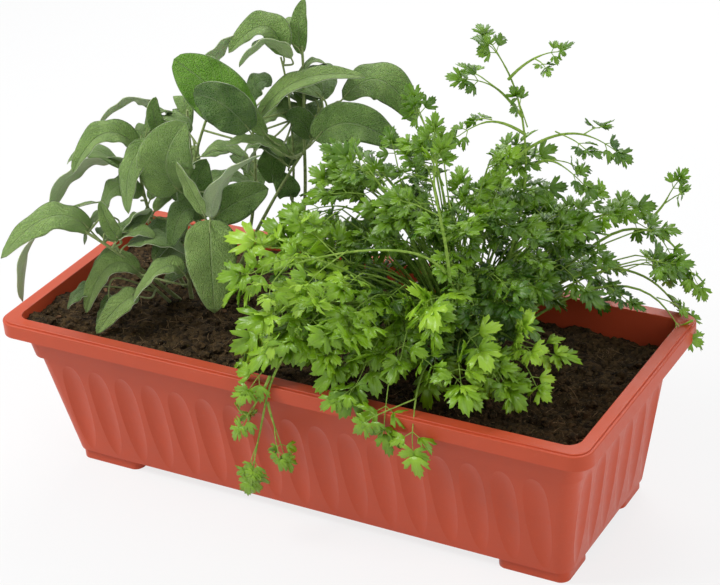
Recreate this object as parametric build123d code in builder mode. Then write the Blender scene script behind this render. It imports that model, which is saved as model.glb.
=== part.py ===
from build123d import *
from math import atan, cos, degrees, sin
import os

# Self-watering trough planter, millimetres, +Z up.
# The origin is the centre of the footprint, on the plane that the feet stand on.
# X runs along the trough and the front long wall faces -Y.

# ---------------------------------------------------------------- driving dimensions
rim_length = 600.0
rim_width = 250.0
height = 165.0
rim_reach = 14.4          # from the opening's edge to the lip's face
rim_plate = 2.6           # thickness of the rim's top
rim_ledge = 2.8           # narrow lower ledge round the rim's top
rim_ledge_drop = 1.2
lip_drop = 15.0
lip_wall = 2.4
lip_radius = 17.0
opening_radius = 12.0
rim_edge_round = 0.9
wall = 2.6
wall_slope = 0.15         # run per unit of height, on all four walls
band_height = 28.0        # plain band between the lip and the fluted wall
band_step = 3.5
foot_height = 11.5
foot_length = 68.0
foot_width = 47.0
foot_inset = 3.4
foot_radius = 9.0

flute_pitch = 30.0
flute_count = 17
end_flute_pitch = 29.0
end_flute_count = 6
flute_width = 24.0
flute_depth = 2.8
flute_top_gap = 4.5       # below the band
flute_tip_gap = 2.0       # above the wall's lower edge
flute_belly = 0.66        # height of the widest place, as a share of the flute

reservoir_depth = 40.0
platform_plate = 3.0
platform_gap = 1.0
leg_radius = 8.0
leg_wall = 1.8
leg_x = (70.0, 175.0)
leg_y = 58.0
drip_slot_length = 10.0
drip_slot_width = 3.0
drip_pitch_x = 18.0
drip_pitch_y = 20.0
drip_margin = 3.0

basket_x = 122.0
basket_radius = 29.0
basket_wall = 1.8
basket_flange = 4.0
basket_foot_gap = 3.0
basket_slots = 12
basket_slot_width = 3.0

mat_thickness = 2.5
mat_gap = 1.5
wick_x = (34.0, 208.0)
wick_width = 25.0
wick_thickness = 2.2
wick_tab = 16.0
wick_gap = 0.3

filler_x = -10.0
filler_y = 60.0
filler_radius = 15.0
filler_bore = 12.5
filler_rise = 5.0         # tube's top above the rim
strainer_seat = 10.0      # depth of the seat for the strainer
strainer_plate = 1.8
cap_plate = 2.6
cap_overhang = 2.2
cap_spigot = 3.0
hinge_pin_radius = 1.5
hinge_offset = 4.4        # pin's axis behind the tube's wall
knuckle_radius = 3.1
knuckle_length = 7.0
ear_thickness = 2.6

gauge_x = -46.0
gauge_y = 60.0
gauge_radius = 10.0
gauge_wall = 1.6
gauge_travel = 28.0
float_length = 24.0
rod_radius = 1.6
guide_plate = 3.0
flag_radius = 5.0
flag_length = 9.0
flag_sink = 2.0           # flag below the tube's top when the reservoir is empty
window_wall = 1.5

drain_height = 27.0
drain_bore = 7.0
drain_boss = 13.0
overflow_drop = 9.0       # overflow's axis below the platform
overflow_bore = 5.0
overflow_boss = 9.5
boss_proud = 0.8
boss_depth = 1.6
plug_travel = 14.0
seal_thickness = 2.0
plug_head = 11.5
plug_head_thickness = 4.0

compost_gap = 0.5
compost_drop = 23.0       # compost below the rim
stem_socket = 34.0
sage_at = (-152.0, 18.0)
parsley_at = (112.0, 24.0)
sage_stem_radius = (13.0, 9.0)
parsley_stem_radius = (21.0, 32.0)
foliage_rise = 23.0       # leaves start above the rim
foliage_skin = 1.8        # leaves are mostly air, so a skin has their mass
sage_crown = (124.0, 92.0, 142.0)
sage_crown_centre = (-150.0, 14.0, 123.0)      # above the rim, like the next
parsley_crown = (150.0, 104.0, 138.0)
parsley_crown_centre = (142.0, 12.0, 120.0)

running_gap = 0.06        # radial clearance of turning and sliding fits
seat_gap = 0.3            # clearance of loose, lift-in fits

# ---------------------------------------------------------------- sizes that follow
tilt = atan(wall_slope)
lip_bottom = height - lip_drop
band_bottom = lip_bottom - band_height
floor_top = foot_height + wall
platform_top = floor_top + reservoir_depth + platform_plate
platform_under = floor_top + reservoir_depth
mat_top = platform_top + mat_thickness
flute_tip = foot_height + flute_tip_gap
flute_top = band_bottom - flute_top_gap
compost_top = height - compost_drop
foliage_bottom = height + foliage_rise


def wall_inset(z):
    """Distance from the lip's face in to the outside of the wall at height z."""
    inset = rim_reach - wall + wall_slope * (height - z)
    return inset + (band_step if z <= band_bottom else 0.0)


def ring_size(z, inwards=0.0, band=False):
    """Length and width of the wall's outside at height z, moved in by a distance."""
    step = band_step if band and z <= band_bottom else 0.0
    inset = 2 * (wall_inset(z) - step + inwards)
    return rim_length - inset, rim_width - inset


def tapered_block(low, high, low_size, high_size, radius):
    """Solid between two rounded rectangles at two heights."""
    with BuildPart() as block:
        with BuildSketch(Plane.XY.offset(low)):
            RectangleRounded(*low_size, radius)
        with BuildSketch(Plane.XY.offset(high)):
            RectangleRounded(*high_size, radius)
        loft()
    return block.part


def flute_body(grow):
    """Barrel whose side sinks into a wall and leaves one leaf-shaped flute."""
    half = flute_width / 2
    belly = (half**2 + flute_depth**2) / (2 * flute_depth)
    away = belly - flute_depth
    span = (flute_top - flute_tip) / cos(tilt)
    end = away - 0.25 + grow
    with BuildPart() as body:
        with BuildSketch(Plane.XZ):
            with BuildLine():
                lower = Spline(
                    (end, 0), (belly + grow, span * flute_belly), tangents=[(0.1, 1), (0, 1)]
                )
                upper = Spline(
                    lower @ 1, (end, span), tangents=[(0, 1), (-0.3, 1)]
                )
                Polyline(upper @ 1, (0, span), (0, 0), lower @ 0)
            make_face()
        revolve(axis=Axis.Z)
    return body.part, away


def flute_planes(away):
    """One plane on each flute's barrel axis, its Z up along the wall."""
    long_half = rim_width / 2 - wall_inset(flute_tip)
    end_half = rim_length / 2 - wall_inset(flute_tip)
    places = []
    for place in GridLocations(flute_pitch, 1, flute_count, 1).locations:
        for side in (-1, 1):
            y = side * (long_half + away * cos(tilt))
            origin = (place.position.X, y, flute_tip - away * sin(tilt))
            up = (0, side * sin(tilt), cos(tilt))
            places.append(Plane(origin=origin, x_dir=(1, 0, 0), z_dir=up))
    for place in GridLocations(1, end_flute_pitch, 1, end_flute_count).locations:
        for side in (-1, 1):
            x = side * (end_half + away * cos(tilt))
            origin = (x, place.position.Y, flute_tip - away * sin(tilt))
            up = (side * sin(tilt), 0, cos(tilt))
            places.append(Plane(origin=origin, x_dir=(0, 1, 0), z_dir=up))
    return places


def end_wall_plane(z):
    """Plane on the outside of the left end wall at height z, facing outwards."""
    x = -(rim_length / 2 - wall_inset(z))
    return Plane(origin=(x, 0, z), x_dir=(0, 1, 0), z_dir=(-cos(tilt), 0, -sin(tilt)))


def back_wall_plane(x, z):
    """Plane on the outside of the back wall at height z, facing outwards."""
    y = rim_width / 2 - wall_inset(z)
    return Plane(origin=(x, y, z), x_dir=(-1, 0, 0), z_dir=(0, cos(tilt), -sin(tilt)))


def save(builder, name):
    """Label a finished piece and write it."""
    builder.part.label = name
    export_step(builder.part, f"parts/{name}.step")


os.makedirs("parts", exist_ok=True)

# ---------------------------------------------------------------- trough
corner = opening_radius + wall
above = height + 1.0
scoop, barrel_away = flute_body(0.0)
bulge, _ = flute_body(wall * cos(tilt))
flutes = flute_planes(barrel_away)

fluted_block = tapered_block(
    foot_height, band_bottom, ring_size(foot_height), ring_size(band_bottom), corner
)
band_block = tapered_block(
    band_bottom, height, ring_size(band_bottom, band=True), ring_size(height), corner
)
inner_ledge = band_bottom + wall
lower_space = tapered_block(
    floor_top, inner_ledge, ring_size(floor_top, wall),
    ring_size(inner_ledge, wall + band_step), opening_radius,
)
upper_space = tapered_block(
    inner_ledge, above, ring_size(inner_ledge, wall), ring_size(above, wall), opening_radius
)

with BuildPart() as lower_core:
    add(lower_space)
    with Locations(*flutes):
        add(bulge, mode=Mode.SUBTRACT)

drain_plane = end_wall_plane(drain_height)
overflow_z = platform_under - overflow_drop
overflow_plane = back_wall_plane(flute_pitch / 2, overflow_z)
ports = ((drain_plane, drain_boss, drain_bore), (overflow_plane, overflow_boss, overflow_bore))

foot_x = rim_length / 2 - wall_inset(foot_height) - foot_inset - foot_length / 2
foot_y = rim_width / 2 - wall_inset(foot_height) - foot_inset - foot_width / 2

with BuildPart() as trough:
    with BuildSketch(Plane.XY.offset(lip_bottom)):
        RectangleRounded(rim_length, rim_width, lip_radius)
    extrude(amount=lip_drop - rim_ledge_drop)
    lip_top = trough.faces().sort_by(Axis.Z)[-1]
    fillet(lip_top.edges(), rim_edge_round)
    with BuildSketch(Plane.XY.offset(height - rim_plate)):
        RectangleRounded(rim_length - 2 * rim_ledge, rim_width - 2 * rim_ledge, lip_radius - rim_ledge)
    extrude(amount=rim_plate)
    fillet(trough.faces().sort_by(Axis.Z)[-1].edges(), rim_edge_round)
    with BuildSketch(Plane.XY.offset(lip_bottom)):
        RectangleRounded(rim_length - 2 * lip_wall, rim_width - 2 * lip_wall, lip_radius - lip_wall)
    extrude(amount=lip_drop - rim_plate - rim_ledge_drop, mode=Mode.SUBTRACT)
    add(band_block)
    add(fluted_block)
    with BuildSketch(Plane.XY):
        with GridLocations(2 * foot_x, 2 * foot_y, 2, 2):
            RectangleRounded(foot_length, foot_width, foot_radius)
    extrude(amount=foot_height)
    add(upper_space, mode=Mode.SUBTRACT)
    add(lower_core.part, mode=Mode.SUBTRACT)
    with Locations(*flutes):
        add(scoop, mode=Mode.SUBTRACT)
    with BuildSketch(Plane.XY.offset(wall)):
        with GridLocations(2 * foot_x, 2 * foot_y, 2, 2):
            RectangleRounded(foot_length - 2 * wall, foot_width - 2 * wall, foot_radius - wall)
    extrude(amount=foot_height, mode=Mode.SUBTRACT)
    for port, boss, bore in ports:
        with BuildSketch(port.offset(boss_proud)):
            Circle(boss)
        extrude(amount=-(boss_proud + wall + boss_depth))
        with BuildSketch(port.offset(boss_proud)):
            Circle(bore)
        extrude(amount=-(boss_proud + wall + boss_depth), mode=Mode.SUBTRACT)
    opening_edge = trough.faces().sort_by(Axis.Z)[-1].inner_wires()[0].edges()
    fillet(opening_edge, rim_edge_round)
save(trough, "trough")

# ---------------------------------------------------------------- reservoir platform
platform_inwards = wall + flute_depth + platform_gap
platform_size = ring_size(platform_under, platform_inwards)
platform_corner = opening_radius - platform_gap
legs = [(sx * x, sy * leg_y) for x in leg_x for sx in (-1, 1) for sy in (-1, 1)]
basket_hole = basket_radius + seat_gap
tube_hole = filler_radius + seat_gap
gauge_hole = gauge_radius + seat_gap
wicks = [(side * x, 0.0) for x in wick_x for side in (-1, 1)]
kept_clear = [(x, y, leg_radius) for x, y in legs]
kept_clear += [(side * basket_x, 0.0, basket_radius + basket_flange) for side in (-1, 1)]
kept_clear += [(filler_x, filler_y, tube_hole), (gauge_x, gauge_y, gauge_hole)]
kept_clear += [(x, y, wick_width / 2) for x, y in wicks]


def is_clear(x, y, reach):
    """True where a drip slot touches no other feature of the platform."""
    for px, py, radius in kept_clear:
        if (x - px) ** 2 + (y - py) ** 2 < (radius + reach) ** 2:
            return False
    return True


columns = int((platform_size[0] - 4 * drip_margin - drip_slot_length) // drip_pitch_x)
rows = int((platform_size[1] - 4 * drip_margin) // drip_pitch_y)
drip_grid = GridLocations(drip_pitch_x, drip_pitch_y, columns, rows).locations
drip_places = [
    place for place in drip_grid
    if is_clear(place.position.X, place.position.Y, drip_slot_length / 2 + drip_margin)
]

with BuildPart() as platform:
    with BuildSketch(Plane.XY.offset(platform_under)):
        RectangleRounded(*platform_size, platform_corner)
    extrude(amount=platform_plate)
    with BuildSketch(Plane.XY.offset(floor_top)):
        with Locations(*legs):
            Circle(leg_radius)
    extrude(amount=reservoir_depth)
    with BuildSketch(Plane.XY.offset(floor_top)):
        with Locations(*legs):
            Circle(leg_radius - leg_wall)
    extrude(amount=reservoir_depth, mode=Mode.SUBTRACT)
    with BuildSketch(Plane.XY.offset(platform_under)):
        with Locations(*drip_places):
            SlotOverall(drip_slot_length, drip_slot_width)
        with Locations((-basket_x, 0), (basket_x, 0)):
            Circle(basket_hole)
        with Locations((filler_x, filler_y)):
            Circle(tube_hole)
        with Locations((gauge_x, gauge_y)):
            Circle(gauge_hole)
        with Locations(*wicks):
            Rectangle(wick_thickness + 2 * wick_gap, wick_width + 2 * wick_gap)
    extrude(amount=platform_plate, mode=Mode.SUBTRACT)
save(platform, "reservoir_platform")

# ---------------------------------------------------------------- wicking baskets
basket_bottom = floor_top + basket_foot_gap
basket_top = platform_top + basket_wall

for name, side in (("wicking_basket_left", -1), ("wicking_basket_right", 1)):
    with BuildPart() as basket:
        with BuildSketch(Plane.XY.offset(basket_bottom)):
            with Locations((side * basket_x, 0)):
                Circle(basket_radius)
        extrude(amount=basket_top - basket_bottom)
        with BuildSketch(Plane.XY.offset(platform_top)):
            with Locations((side * basket_x, 0)):
                Circle(basket_radius + basket_flange)
        extrude(amount=basket_wall)
        with BuildSketch(Plane.XY.offset(basket_bottom + basket_wall)):
            with Locations((side * basket_x, 0)):
                Circle(basket_radius - basket_wall)
        extrude(amount=basket_top - basket_bottom, mode=Mode.SUBTRACT)
        slot_height = platform_under - basket_bottom - 4 * basket_wall
        with Locations((side * basket_x, 0, basket_bottom + 2 * basket_wall + slot_height / 2)):
            with PolarLocations(basket_radius, basket_slots):
                Box(4 * basket_wall, basket_slot_width, slot_height, mode=Mode.SUBTRACT)
    save(basket, name)

# ---------------------------------------------------------------- capillary mat and wicks
with BuildPart() as mat:
    with BuildSketch(Plane.XY.offset(platform_top)):
        RectangleRounded(
            platform_size[0] - 2 * mat_gap, platform_size[1] - 2 * mat_gap, platform_corner - mat_gap
        )
        with Locations((-basket_x, 0), (basket_x, 0)):
            Circle(basket_radius + basket_flange + seat_gap, mode=Mode.SUBTRACT)
        with Locations((filler_x, filler_y)):
            Circle(tube_hole, mode=Mode.SUBTRACT)
        with Locations((gauge_x, gauge_y)):
            Circle(gauge_hole, mode=Mode.SUBTRACT)
        with Locations(*wicks):
            Rectangle(wick_thickness + 2 * wick_gap, wick_width + 2 * wick_gap, mode=Mode.SUBTRACT)
    extrude(amount=mat_thickness)
save(mat, "capillary_mat")

for number, (x, y) in enumerate(wicks, start=1):
    with BuildPart() as wick:
        with BuildSketch(Plane.XZ.offset(wick_width / 2 - y)):
            with BuildLine():
                Polyline(
                    (x - wick_thickness / 2, floor_top),
                    (x + wick_thickness / 2, floor_top),
                    (x + wick_thickness / 2, mat_top),
                    (x + wick_tab, mat_top),
                    (x + wick_tab, mat_top + wick_thickness),
                    (x - wick_thickness / 2, mat_top + wick_thickness),
                    close=True,
                )
            make_face()
        extrude(amount=-wick_width)
    save(wick, f"wick_strip_{number}")

# ---------------------------------------------------------------- filler tube, strainer and cap
tube_top = height + filler_rise
seat_radius = filler_bore + 1.0
hinge_y = filler_y + filler_radius + hinge_offset
hinge_z = tube_top + cap_plate / 2
outlet_width = 8.0
outlet_height = 12.0

with BuildPart() as filler_tube:
    with BuildSketch(Plane.XY.offset(floor_top)):
        with Locations((filler_x, filler_y)):
            Circle(filler_radius)
    extrude(amount=tube_top - floor_top)
    for side in (-1, 1):
        ear_x = filler_x + side * (knuckle_length / 2 + seat_gap + ear_thickness / 2)
        with BuildSketch(Plane.YZ.offset(ear_x)):
            with BuildLine():
                Polyline(
                    (filler_y + filler_radius - 2, hinge_z - 16),
                    (hinge_y + knuckle_radius, hinge_z),
                    (hinge_y - knuckle_radius, tube_top - seat_gap),
                    (filler_y + filler_radius - 2, tube_top - 4),
                    close=True,
                )
            make_face()
            with Locations((hinge_y, hinge_z)):
                Circle(knuckle_radius)
        extrude(amount=ear_thickness / 2, both=True)
    with BuildSketch(Plane.XY.offset(floor_top)):
        with Locations((filler_x, filler_y)):
            Circle(filler_bore)
    extrude(amount=tube_top - floor_top, mode=Mode.SUBTRACT)
    with BuildSketch(Plane.XY.offset(tube_top - strainer_seat)):
        with Locations((filler_x, filler_y)):
            Circle(seat_radius)
    extrude(amount=strainer_seat, mode=Mode.SUBTRACT)
    with Locations((filler_x, filler_y, floor_top + outlet_height / 2)):
        with PolarLocations(0, 2):
            Box(4 * filler_radius, outlet_width, outlet_height, mode=Mode.SUBTRACT)
    with BuildSketch(Plane.YZ.offset(filler_x)):
        with Locations((hinge_y, hinge_z)):
            Circle(hinge_pin_radius)
    extrude(amount=knuckle_length + ear_thickness, both=True, mode=Mode.SUBTRACT)
save(filler_tube, "filler_tube")

with BuildPart() as strainer:
    strainer_z = tube_top - strainer_seat
    with BuildSketch(Plane.XY.offset(strainer_z)):
        with Locations((filler_x, filler_y)):
            Circle(seat_radius - running_gap)
    extrude(amount=strainer_plate)
    with BuildSketch(Plane.XY.offset(strainer_z)):
        with Locations((filler_x, filler_y)):
            Circle(2.2)
    extrude(amount=strainer_seat - cap_spigot - 1.0)
    with BuildSketch(Plane.XY.offset(strainer_z)):
        with Locations((filler_x, filler_y)):
            with PolarLocations(5.0, 6):
                Circle(1.6)
            with PolarLocations(9.5, 12):
                Circle(1.6)
    extrude(amount=strainer_plate, mode=Mode.SUBTRACT)
save(strainer, "filler_strainer")

with BuildPart() as cap:
    with BuildSketch(Plane.XY.offset(tube_top)):
        with Locations((filler_x, filler_y)):
            Circle(filler_radius + cap_overhang)
        thumb_y = filler_y - filler_radius - cap_overhang
        with Locations((filler_x, thumb_y)):
            RectangleRounded(12, 8, 3)
        with Locations((filler_x, (filler_y + hinge_y) / 2 + 4)):
            Rectangle(knuckle_length, hinge_y - filler_y - 8)
    extrude(amount=cap_plate)
    with BuildSketch(Plane.XY.offset(tube_top)):
        with Locations((filler_x, filler_y)):
            Circle(seat_radius - seat_gap)
            Circle(seat_radius - seat_gap - 1.6, mode=Mode.SUBTRACT)
    extrude(amount=-cap_spigot)
    fillet(cap.faces().sort_by(Axis.Z)[-1].edges().filter_by(GeomType.CIRCLE), 0.8)
    for side in (-1, 1):
        ear_x = filler_x + side * (knuckle_length / 2 + seat_gap + ear_thickness / 2)
        with BuildSketch(Plane.YZ.offset(ear_x)):
            with Locations((hinge_y, hinge_z)):
                Circle(knuckle_radius + 2 * seat_gap)
        extrude(amount=ear_thickness / 2 + seat_gap, both=True, mode=Mode.SUBTRACT)
    with BuildSketch(Plane.YZ.offset(filler_x)):
        with Locations((hinge_y, hinge_z)):
            Circle(knuckle_radius)
    extrude(amount=knuckle_length / 2, both=True)
    with BuildSketch(Plane.YZ.offset(filler_x)):
        with Locations((hinge_y, hinge_z)):
            Circle(hinge_pin_radius + running_gap)
    extrude(amount=knuckle_length, both=True, mode=Mode.SUBTRACT)
save(cap, "filler_cap")

with BuildPart() as hinge_pin:
    with BuildSketch(Plane.YZ.offset(filler_x)):
        with Locations((hinge_y, hinge_z)):
            Circle(hinge_pin_radius)
    extrude(amount=knuckle_length / 2 + seat_gap + ear_thickness, both=True)
save(hinge_pin, "cap_hinge_pin")

# ---------------------------------------------------------------- water level gauge
gauge_inner = gauge_radius - gauge_wall
gauge_top = height + filler_rise
window_height = gauge_travel + flag_length - flag_sink + seat_gap
float_bottom = floor_top + 1.0
flag_bottom = gauge_top - flag_sink
guide_top = flag_bottom - 1.0

with BuildPart() as gauge_tube:
    with BuildSketch(Plane.XY.offset(floor_top)):
        with Locations((gauge_x, gauge_y)):
            Circle(gauge_radius)
            Circle(gauge_inner, mode=Mode.SUBTRACT)
    extrude(amount=gauge_top - floor_top)
    with Locations((gauge_x, gauge_y, floor_top + outlet_height / 2)):
        Box(4 * gauge_radius, outlet_width, outlet_height, mode=Mode.SUBTRACT)
save(gauge_tube, "gauge_tube")

with BuildPart() as gauge_float:
    with BuildSketch(Plane.XY.offset(float_bottom)):
        with Locations((gauge_x, gauge_y)):
            Circle(gauge_inner - 2 * seat_gap)
    extrude(amount=float_length)
    fillet(gauge_float.edges(), 1.5)
save(gauge_float, "gauge_float")

with BuildPart() as gauge_rod:
    with BuildSketch(Plane.XY.offset(float_bottom + float_length)):
        with Locations((gauge_x, gauge_y)):
            Circle(rod_radius)
    extrude(amount=flag_bottom - float_bottom - float_length)
save(gauge_rod, "gauge_rod")

with BuildPart() as gauge_guide:
    with BuildSketch(Plane.XY.offset(guide_top - guide_plate)):
        with Locations((gauge_x, gauge_y)):
            Circle(gauge_inner)
            Circle(rod_radius + running_gap, mode=Mode.SUBTRACT)
    extrude(amount=guide_plate)
save(gauge_guide, "gauge_guide")

with BuildPart() as gauge_flag:
    with BuildSketch(Plane.XY.offset(flag_bottom)):
        with Locations((gauge_x, gauge_y)):
            Circle(flag_radius)
    extrude(amount=flag_length)
    fillet(gauge_flag.edges(), 1.2)
save(gauge_flag, "gauge_flag")

with BuildPart() as gauge_window:
    window_top = gauge_top + window_height + window_wall
    with BuildSketch(Plane.XY.offset(gauge_top)):
        with Locations((gauge_x, gauge_y)):
            Circle(gauge_radius)
    extrude(amount=window_top - gauge_top)
    fillet(gauge_window.faces().sort_by(Axis.Z)[-1].edges(), 4.0)
    with BuildSketch(Plane.XY.offset(gauge_top)):
        with Locations((gauge_x, gauge_y)):
            Circle(gauge_radius - window_wall)
    extrude(amount=window_height, mode=Mode.SUBTRACT)
save(gauge_window, "gauge_window")

# ---------------------------------------------------------------- drain plug and overflow
with BuildPart() as drain_seal:
    with BuildSketch(drain_plane.offset(boss_proud)):
        Circle(plug_head - 1.0)
        Circle(drain_bore + seat_gap, mode=Mode.SUBTRACT)
    extrude(amount=seal_thickness)
save(drain_seal, "drain_seal")

head_from = boss_proud + seal_thickness
with BuildPart() as drain_plug:
    with BuildSketch(drain_plane.offset(head_from)):
        Circle(plug_head)
    extrude(amount=plug_head_thickness)
    with BuildSketch(drain_plane.offset(head_from)):
        Circle(drain_bore - running_gap)
    extrude(amount=-(head_from + wall + boss_depth))
    with BuildSketch(drain_plane.offset(head_from + plug_head_thickness)):
        SlotOverall(2 * plug_head - 5.0, 4.0)
    extrude(amount=5.0)
save(drain_plug, "drain_plug")

with BuildPart() as overflow:
    with BuildSketch(overflow_plane.offset(boss_proud)):
        Circle(overflow_boss - 1.5)
    extrude(amount=1.8)
    with BuildSketch(overflow_plane.offset(-(wall + boss_depth))):
        Circle(overflow_bore - running_gap)
    extrude(amount=wall + boss_depth + boss_proud + 12.0)
    with BuildSketch(overflow_plane.offset(-(wall + boss_depth))):
        Circle(overflow_bore - 1.6)
    extrude(amount=wall + boss_depth + boss_proud + 12.0, mode=Mode.SUBTRACT)
save(overflow, "overflow_spout")

# ---------------------------------------------------------------- compost and plants
lower_inwards = wall + flute_depth + compost_gap
upper_inwards = wall + compost_gap
lower_compost = tapered_block(
    mat_top, inner_ledge, ring_size(mat_top, lower_inwards),
    ring_size(inner_ledge, lower_inwards + band_step), opening_radius - compost_gap,
)
upper_compost = tapered_block(
    inner_ledge + compost_gap, compost_top, ring_size(inner_ledge + compost_gap, upper_inwards),
    ring_size(compost_top, upper_inwards), opening_radius - compost_gap,
)
neck_size = ring_size(inner_ledge, lower_inwards + band_step)
plug_bottom = basket_bottom + basket_wall + seat_gap

with BuildPart() as compost:
    add(lower_compost)
    with BuildSketch(Plane.XY.offset(inner_ledge)):
        RectangleRounded(*neck_size, opening_radius - compost_gap)
    extrude(amount=compost_gap)
    add(upper_compost)
    with BuildSketch(Plane.XY.offset(mat_top)):
        with Locations((-basket_x, 0), (basket_x, 0)):
            Circle(basket_radius - basket_wall - seat_gap)
    extrude(amount=plug_bottom - mat_top)
    with BuildSketch(Plane.XY.offset(compost_top)):
        with Locations((filler_x, filler_y)):
            Circle(filler_radius + compost_gap)
        with Locations((gauge_x, gauge_y)):
            Circle(gauge_radius + compost_gap)
    extrude(amount=mat_top - compost_top, mode=Mode.SUBTRACT)
    with BuildSketch(Plane.XY.offset(mat_top)):
        for x, y in wicks:
            with Locations((x + (wick_tab - wick_thickness / 2) / 2, y)):
                Rectangle(wick_tab + wick_thickness / 2 + 2 * wick_gap, wick_width + 2 * wick_gap)
    extrude(amount=wick_thickness + wick_gap, mode=Mode.SUBTRACT)
    with BuildSketch(Plane.XY.offset(compost_top - stem_socket)):
        with Locations(sage_at):
            Circle(sage_stem_radius[0] + compost_gap)
        with Locations(parsley_at):
            Circle(parsley_stem_radius[0] + compost_gap)
    extrude(amount=stem_socket, mode=Mode.SUBTRACT)
save(compost, "compost")

stems = (("sage_stems", sage_at, sage_stem_radius), ("parsley_stems", parsley_at, parsley_stem_radius))
for name, (x, y), (low_radius, high_radius) in stems:
    with BuildPart() as stem:
        with BuildSketch(Plane.XY.offset(compost_top - stem_socket)):
            with Locations((x, y)):
                Circle(low_radius)
        extrude(amount=stem_socket)
        with BuildSketch(Plane.XY.offset(compost_top)):
            with Locations((x, y)):
                Circle(low_radius)
        with BuildSketch(Plane.XY.offset(foliage_bottom)):
            with Locations((x, y)):
                Circle(high_radius)
        loft()
    save(stem, name)

crowns = (
    ("sage_foliage", sage_crown, sage_crown_centre),
    ("parsley_foliage", parsley_crown, parsley_crown_centre),
)
for name, half_axes, (x, y, rise) in crowns:
    centre = (x, y, height + rise)
    outer = scale(Sphere(1), by=half_axes)
    inner = scale(Sphere(1), by=tuple(axis - foliage_skin for axis in half_axes))
    with BuildPart() as hollow:
        with Locations(centre):
            add(inner)
        split(bisect_by=Plane.XY.offset(foliage_bottom + foliage_skin), keep=Keep.TOP)
    with BuildPart() as crown:
        with Locations(centre):
            add(outer)
        split(bisect_by=Plane.XY.offset(foliage_bottom), keep=Keep.TOP)
        add(hollow.part, mode=Mode.SUBTRACT)
    save(crown, name)
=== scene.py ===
"""Look of the self watering planter: a moulded trough with compost, sage and parsley."""

import logging
import math
import random
from collections.abc import Callable, Iterable, Iterator, Sequence
from contextlib import contextmanager
from dataclasses import dataclass, field
from enum import Enum

import bpy
import numpy as np
from mathutils import Matrix, Vector, noise


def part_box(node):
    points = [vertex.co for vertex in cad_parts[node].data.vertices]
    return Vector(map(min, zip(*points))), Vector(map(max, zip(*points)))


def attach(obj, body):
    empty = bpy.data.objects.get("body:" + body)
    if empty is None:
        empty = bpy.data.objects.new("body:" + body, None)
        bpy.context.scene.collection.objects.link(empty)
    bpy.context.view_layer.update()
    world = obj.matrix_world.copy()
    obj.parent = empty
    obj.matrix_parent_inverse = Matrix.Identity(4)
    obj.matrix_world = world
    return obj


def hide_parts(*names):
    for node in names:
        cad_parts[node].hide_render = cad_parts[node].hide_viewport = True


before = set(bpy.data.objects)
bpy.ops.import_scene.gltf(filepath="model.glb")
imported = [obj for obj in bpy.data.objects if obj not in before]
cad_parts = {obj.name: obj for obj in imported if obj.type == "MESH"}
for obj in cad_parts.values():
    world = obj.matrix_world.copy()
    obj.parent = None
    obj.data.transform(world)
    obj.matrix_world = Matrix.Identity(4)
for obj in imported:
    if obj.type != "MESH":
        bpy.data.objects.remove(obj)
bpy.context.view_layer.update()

MM = 0.001
SEED = 20
BODY = "planter"
LOG = logging.getLogger("planter")

Point = tuple[float, float, float]


def tint(red: int, green: int, blue: int) -> tuple[float, float, float, float]:
    """A screen colour, 0 to 255 a channel, as the linear colour a shader takes."""
    def linear(channel: int) -> float:
        """One channel, from screen value to linear light."""
        value = channel / 255.0
        return value / 12.92 if value <= 0.04045 else ((value + 0.055) / 1.055) ** 2.4

    return (linear(red), linear(green), linear(blue), 1.0)


def place(point: Point) -> Vector:
    """A point given in millimetres, in metres."""
    return Vector(point) * MM


# ---------------------------------------------------------------- modelling helpers
def choose(active: bpy.types.Object, *others: bpy.types.Object) -> None:
    """Selects these objects only, the first of them active."""
    bpy.ops.object.select_all(action="DESELECT")
    for piece in (active, *others):
        piece.select_set(True)
    bpy.context.view_layer.objects.active = active


def coordinates(piece: bpy.types.Object) -> np.ndarray:
    """The piece's vertices as an array of rows x, y, z."""
    values = np.empty(len(piece.data.vertices) * 3)
    piece.data.vertices.foreach_get("co", values)
    return values.reshape(-1, 3)


def move_vertices(piece: bpy.types.Object, values: np.ndarray) -> None:
    """Puts the piece's vertices at the rows x, y, z of values."""
    piece.data.vertices.foreach_set("co", np.ascontiguousarray(values, dtype=float).ravel())
    piece.data.update()


def copy_of(piece: bpy.types.Object) -> bpy.types.Object:
    """A copy of the piece with its own mesh, in the same collection."""
    twin = piece.copy()
    twin.data = piece.data.copy()
    bpy.context.collection.objects.link(twin)
    return twin


def bent_copy(pattern: bpy.types.Object, rows: np.ndarray) -> bpy.types.Object:
    """A copy of the pattern with its vertices at the rows x, y, z."""
    twin = copy_of(pattern)
    move_vertices(twin, rows)
    return twin


def smooth(piece: bpy.types.Object, degrees: float = 180.0) -> None:
    """Shades the piece smoothly where its faces meet at less than that angle."""
    choose(piece)
    if degrees < 180.0:
        bpy.ops.object.shade_smooth_by_angle(angle=math.radians(degrees))
    else:
        bpy.ops.object.shade_smooth()


def join(pieces: Sequence[bpy.types.Object], name: str) -> bpy.types.Object:
    """Joins the pieces to one object.

    Args:
        pieces: the objects, of which the first keeps its materials' order.
        name: the new name of the joined object.

    Returns:
        The joined object.
    """
    choose(pieces[0], *pieces[1:])
    bpy.ops.object.join()
    whole = bpy.context.view_layer.objects.active
    whole.name = name
    whole.data.name = name
    return whole


def apply(piece: bpy.types.Object, kind: str, **settings: object) -> None:
    """Adds a modifier of that kind to the piece and applies it.

    Args:
        piece: the object to change.
        kind: the modifier's type.
        settings: the modifier's own values.
    """
    choose(piece)
    modifier = piece.modifiers.new(kind.lower(), kind)
    for key, value in settings.items():
        setattr(modifier, key, value)
    bpy.ops.object.modifier_apply(modifier=modifier.name)


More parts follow.
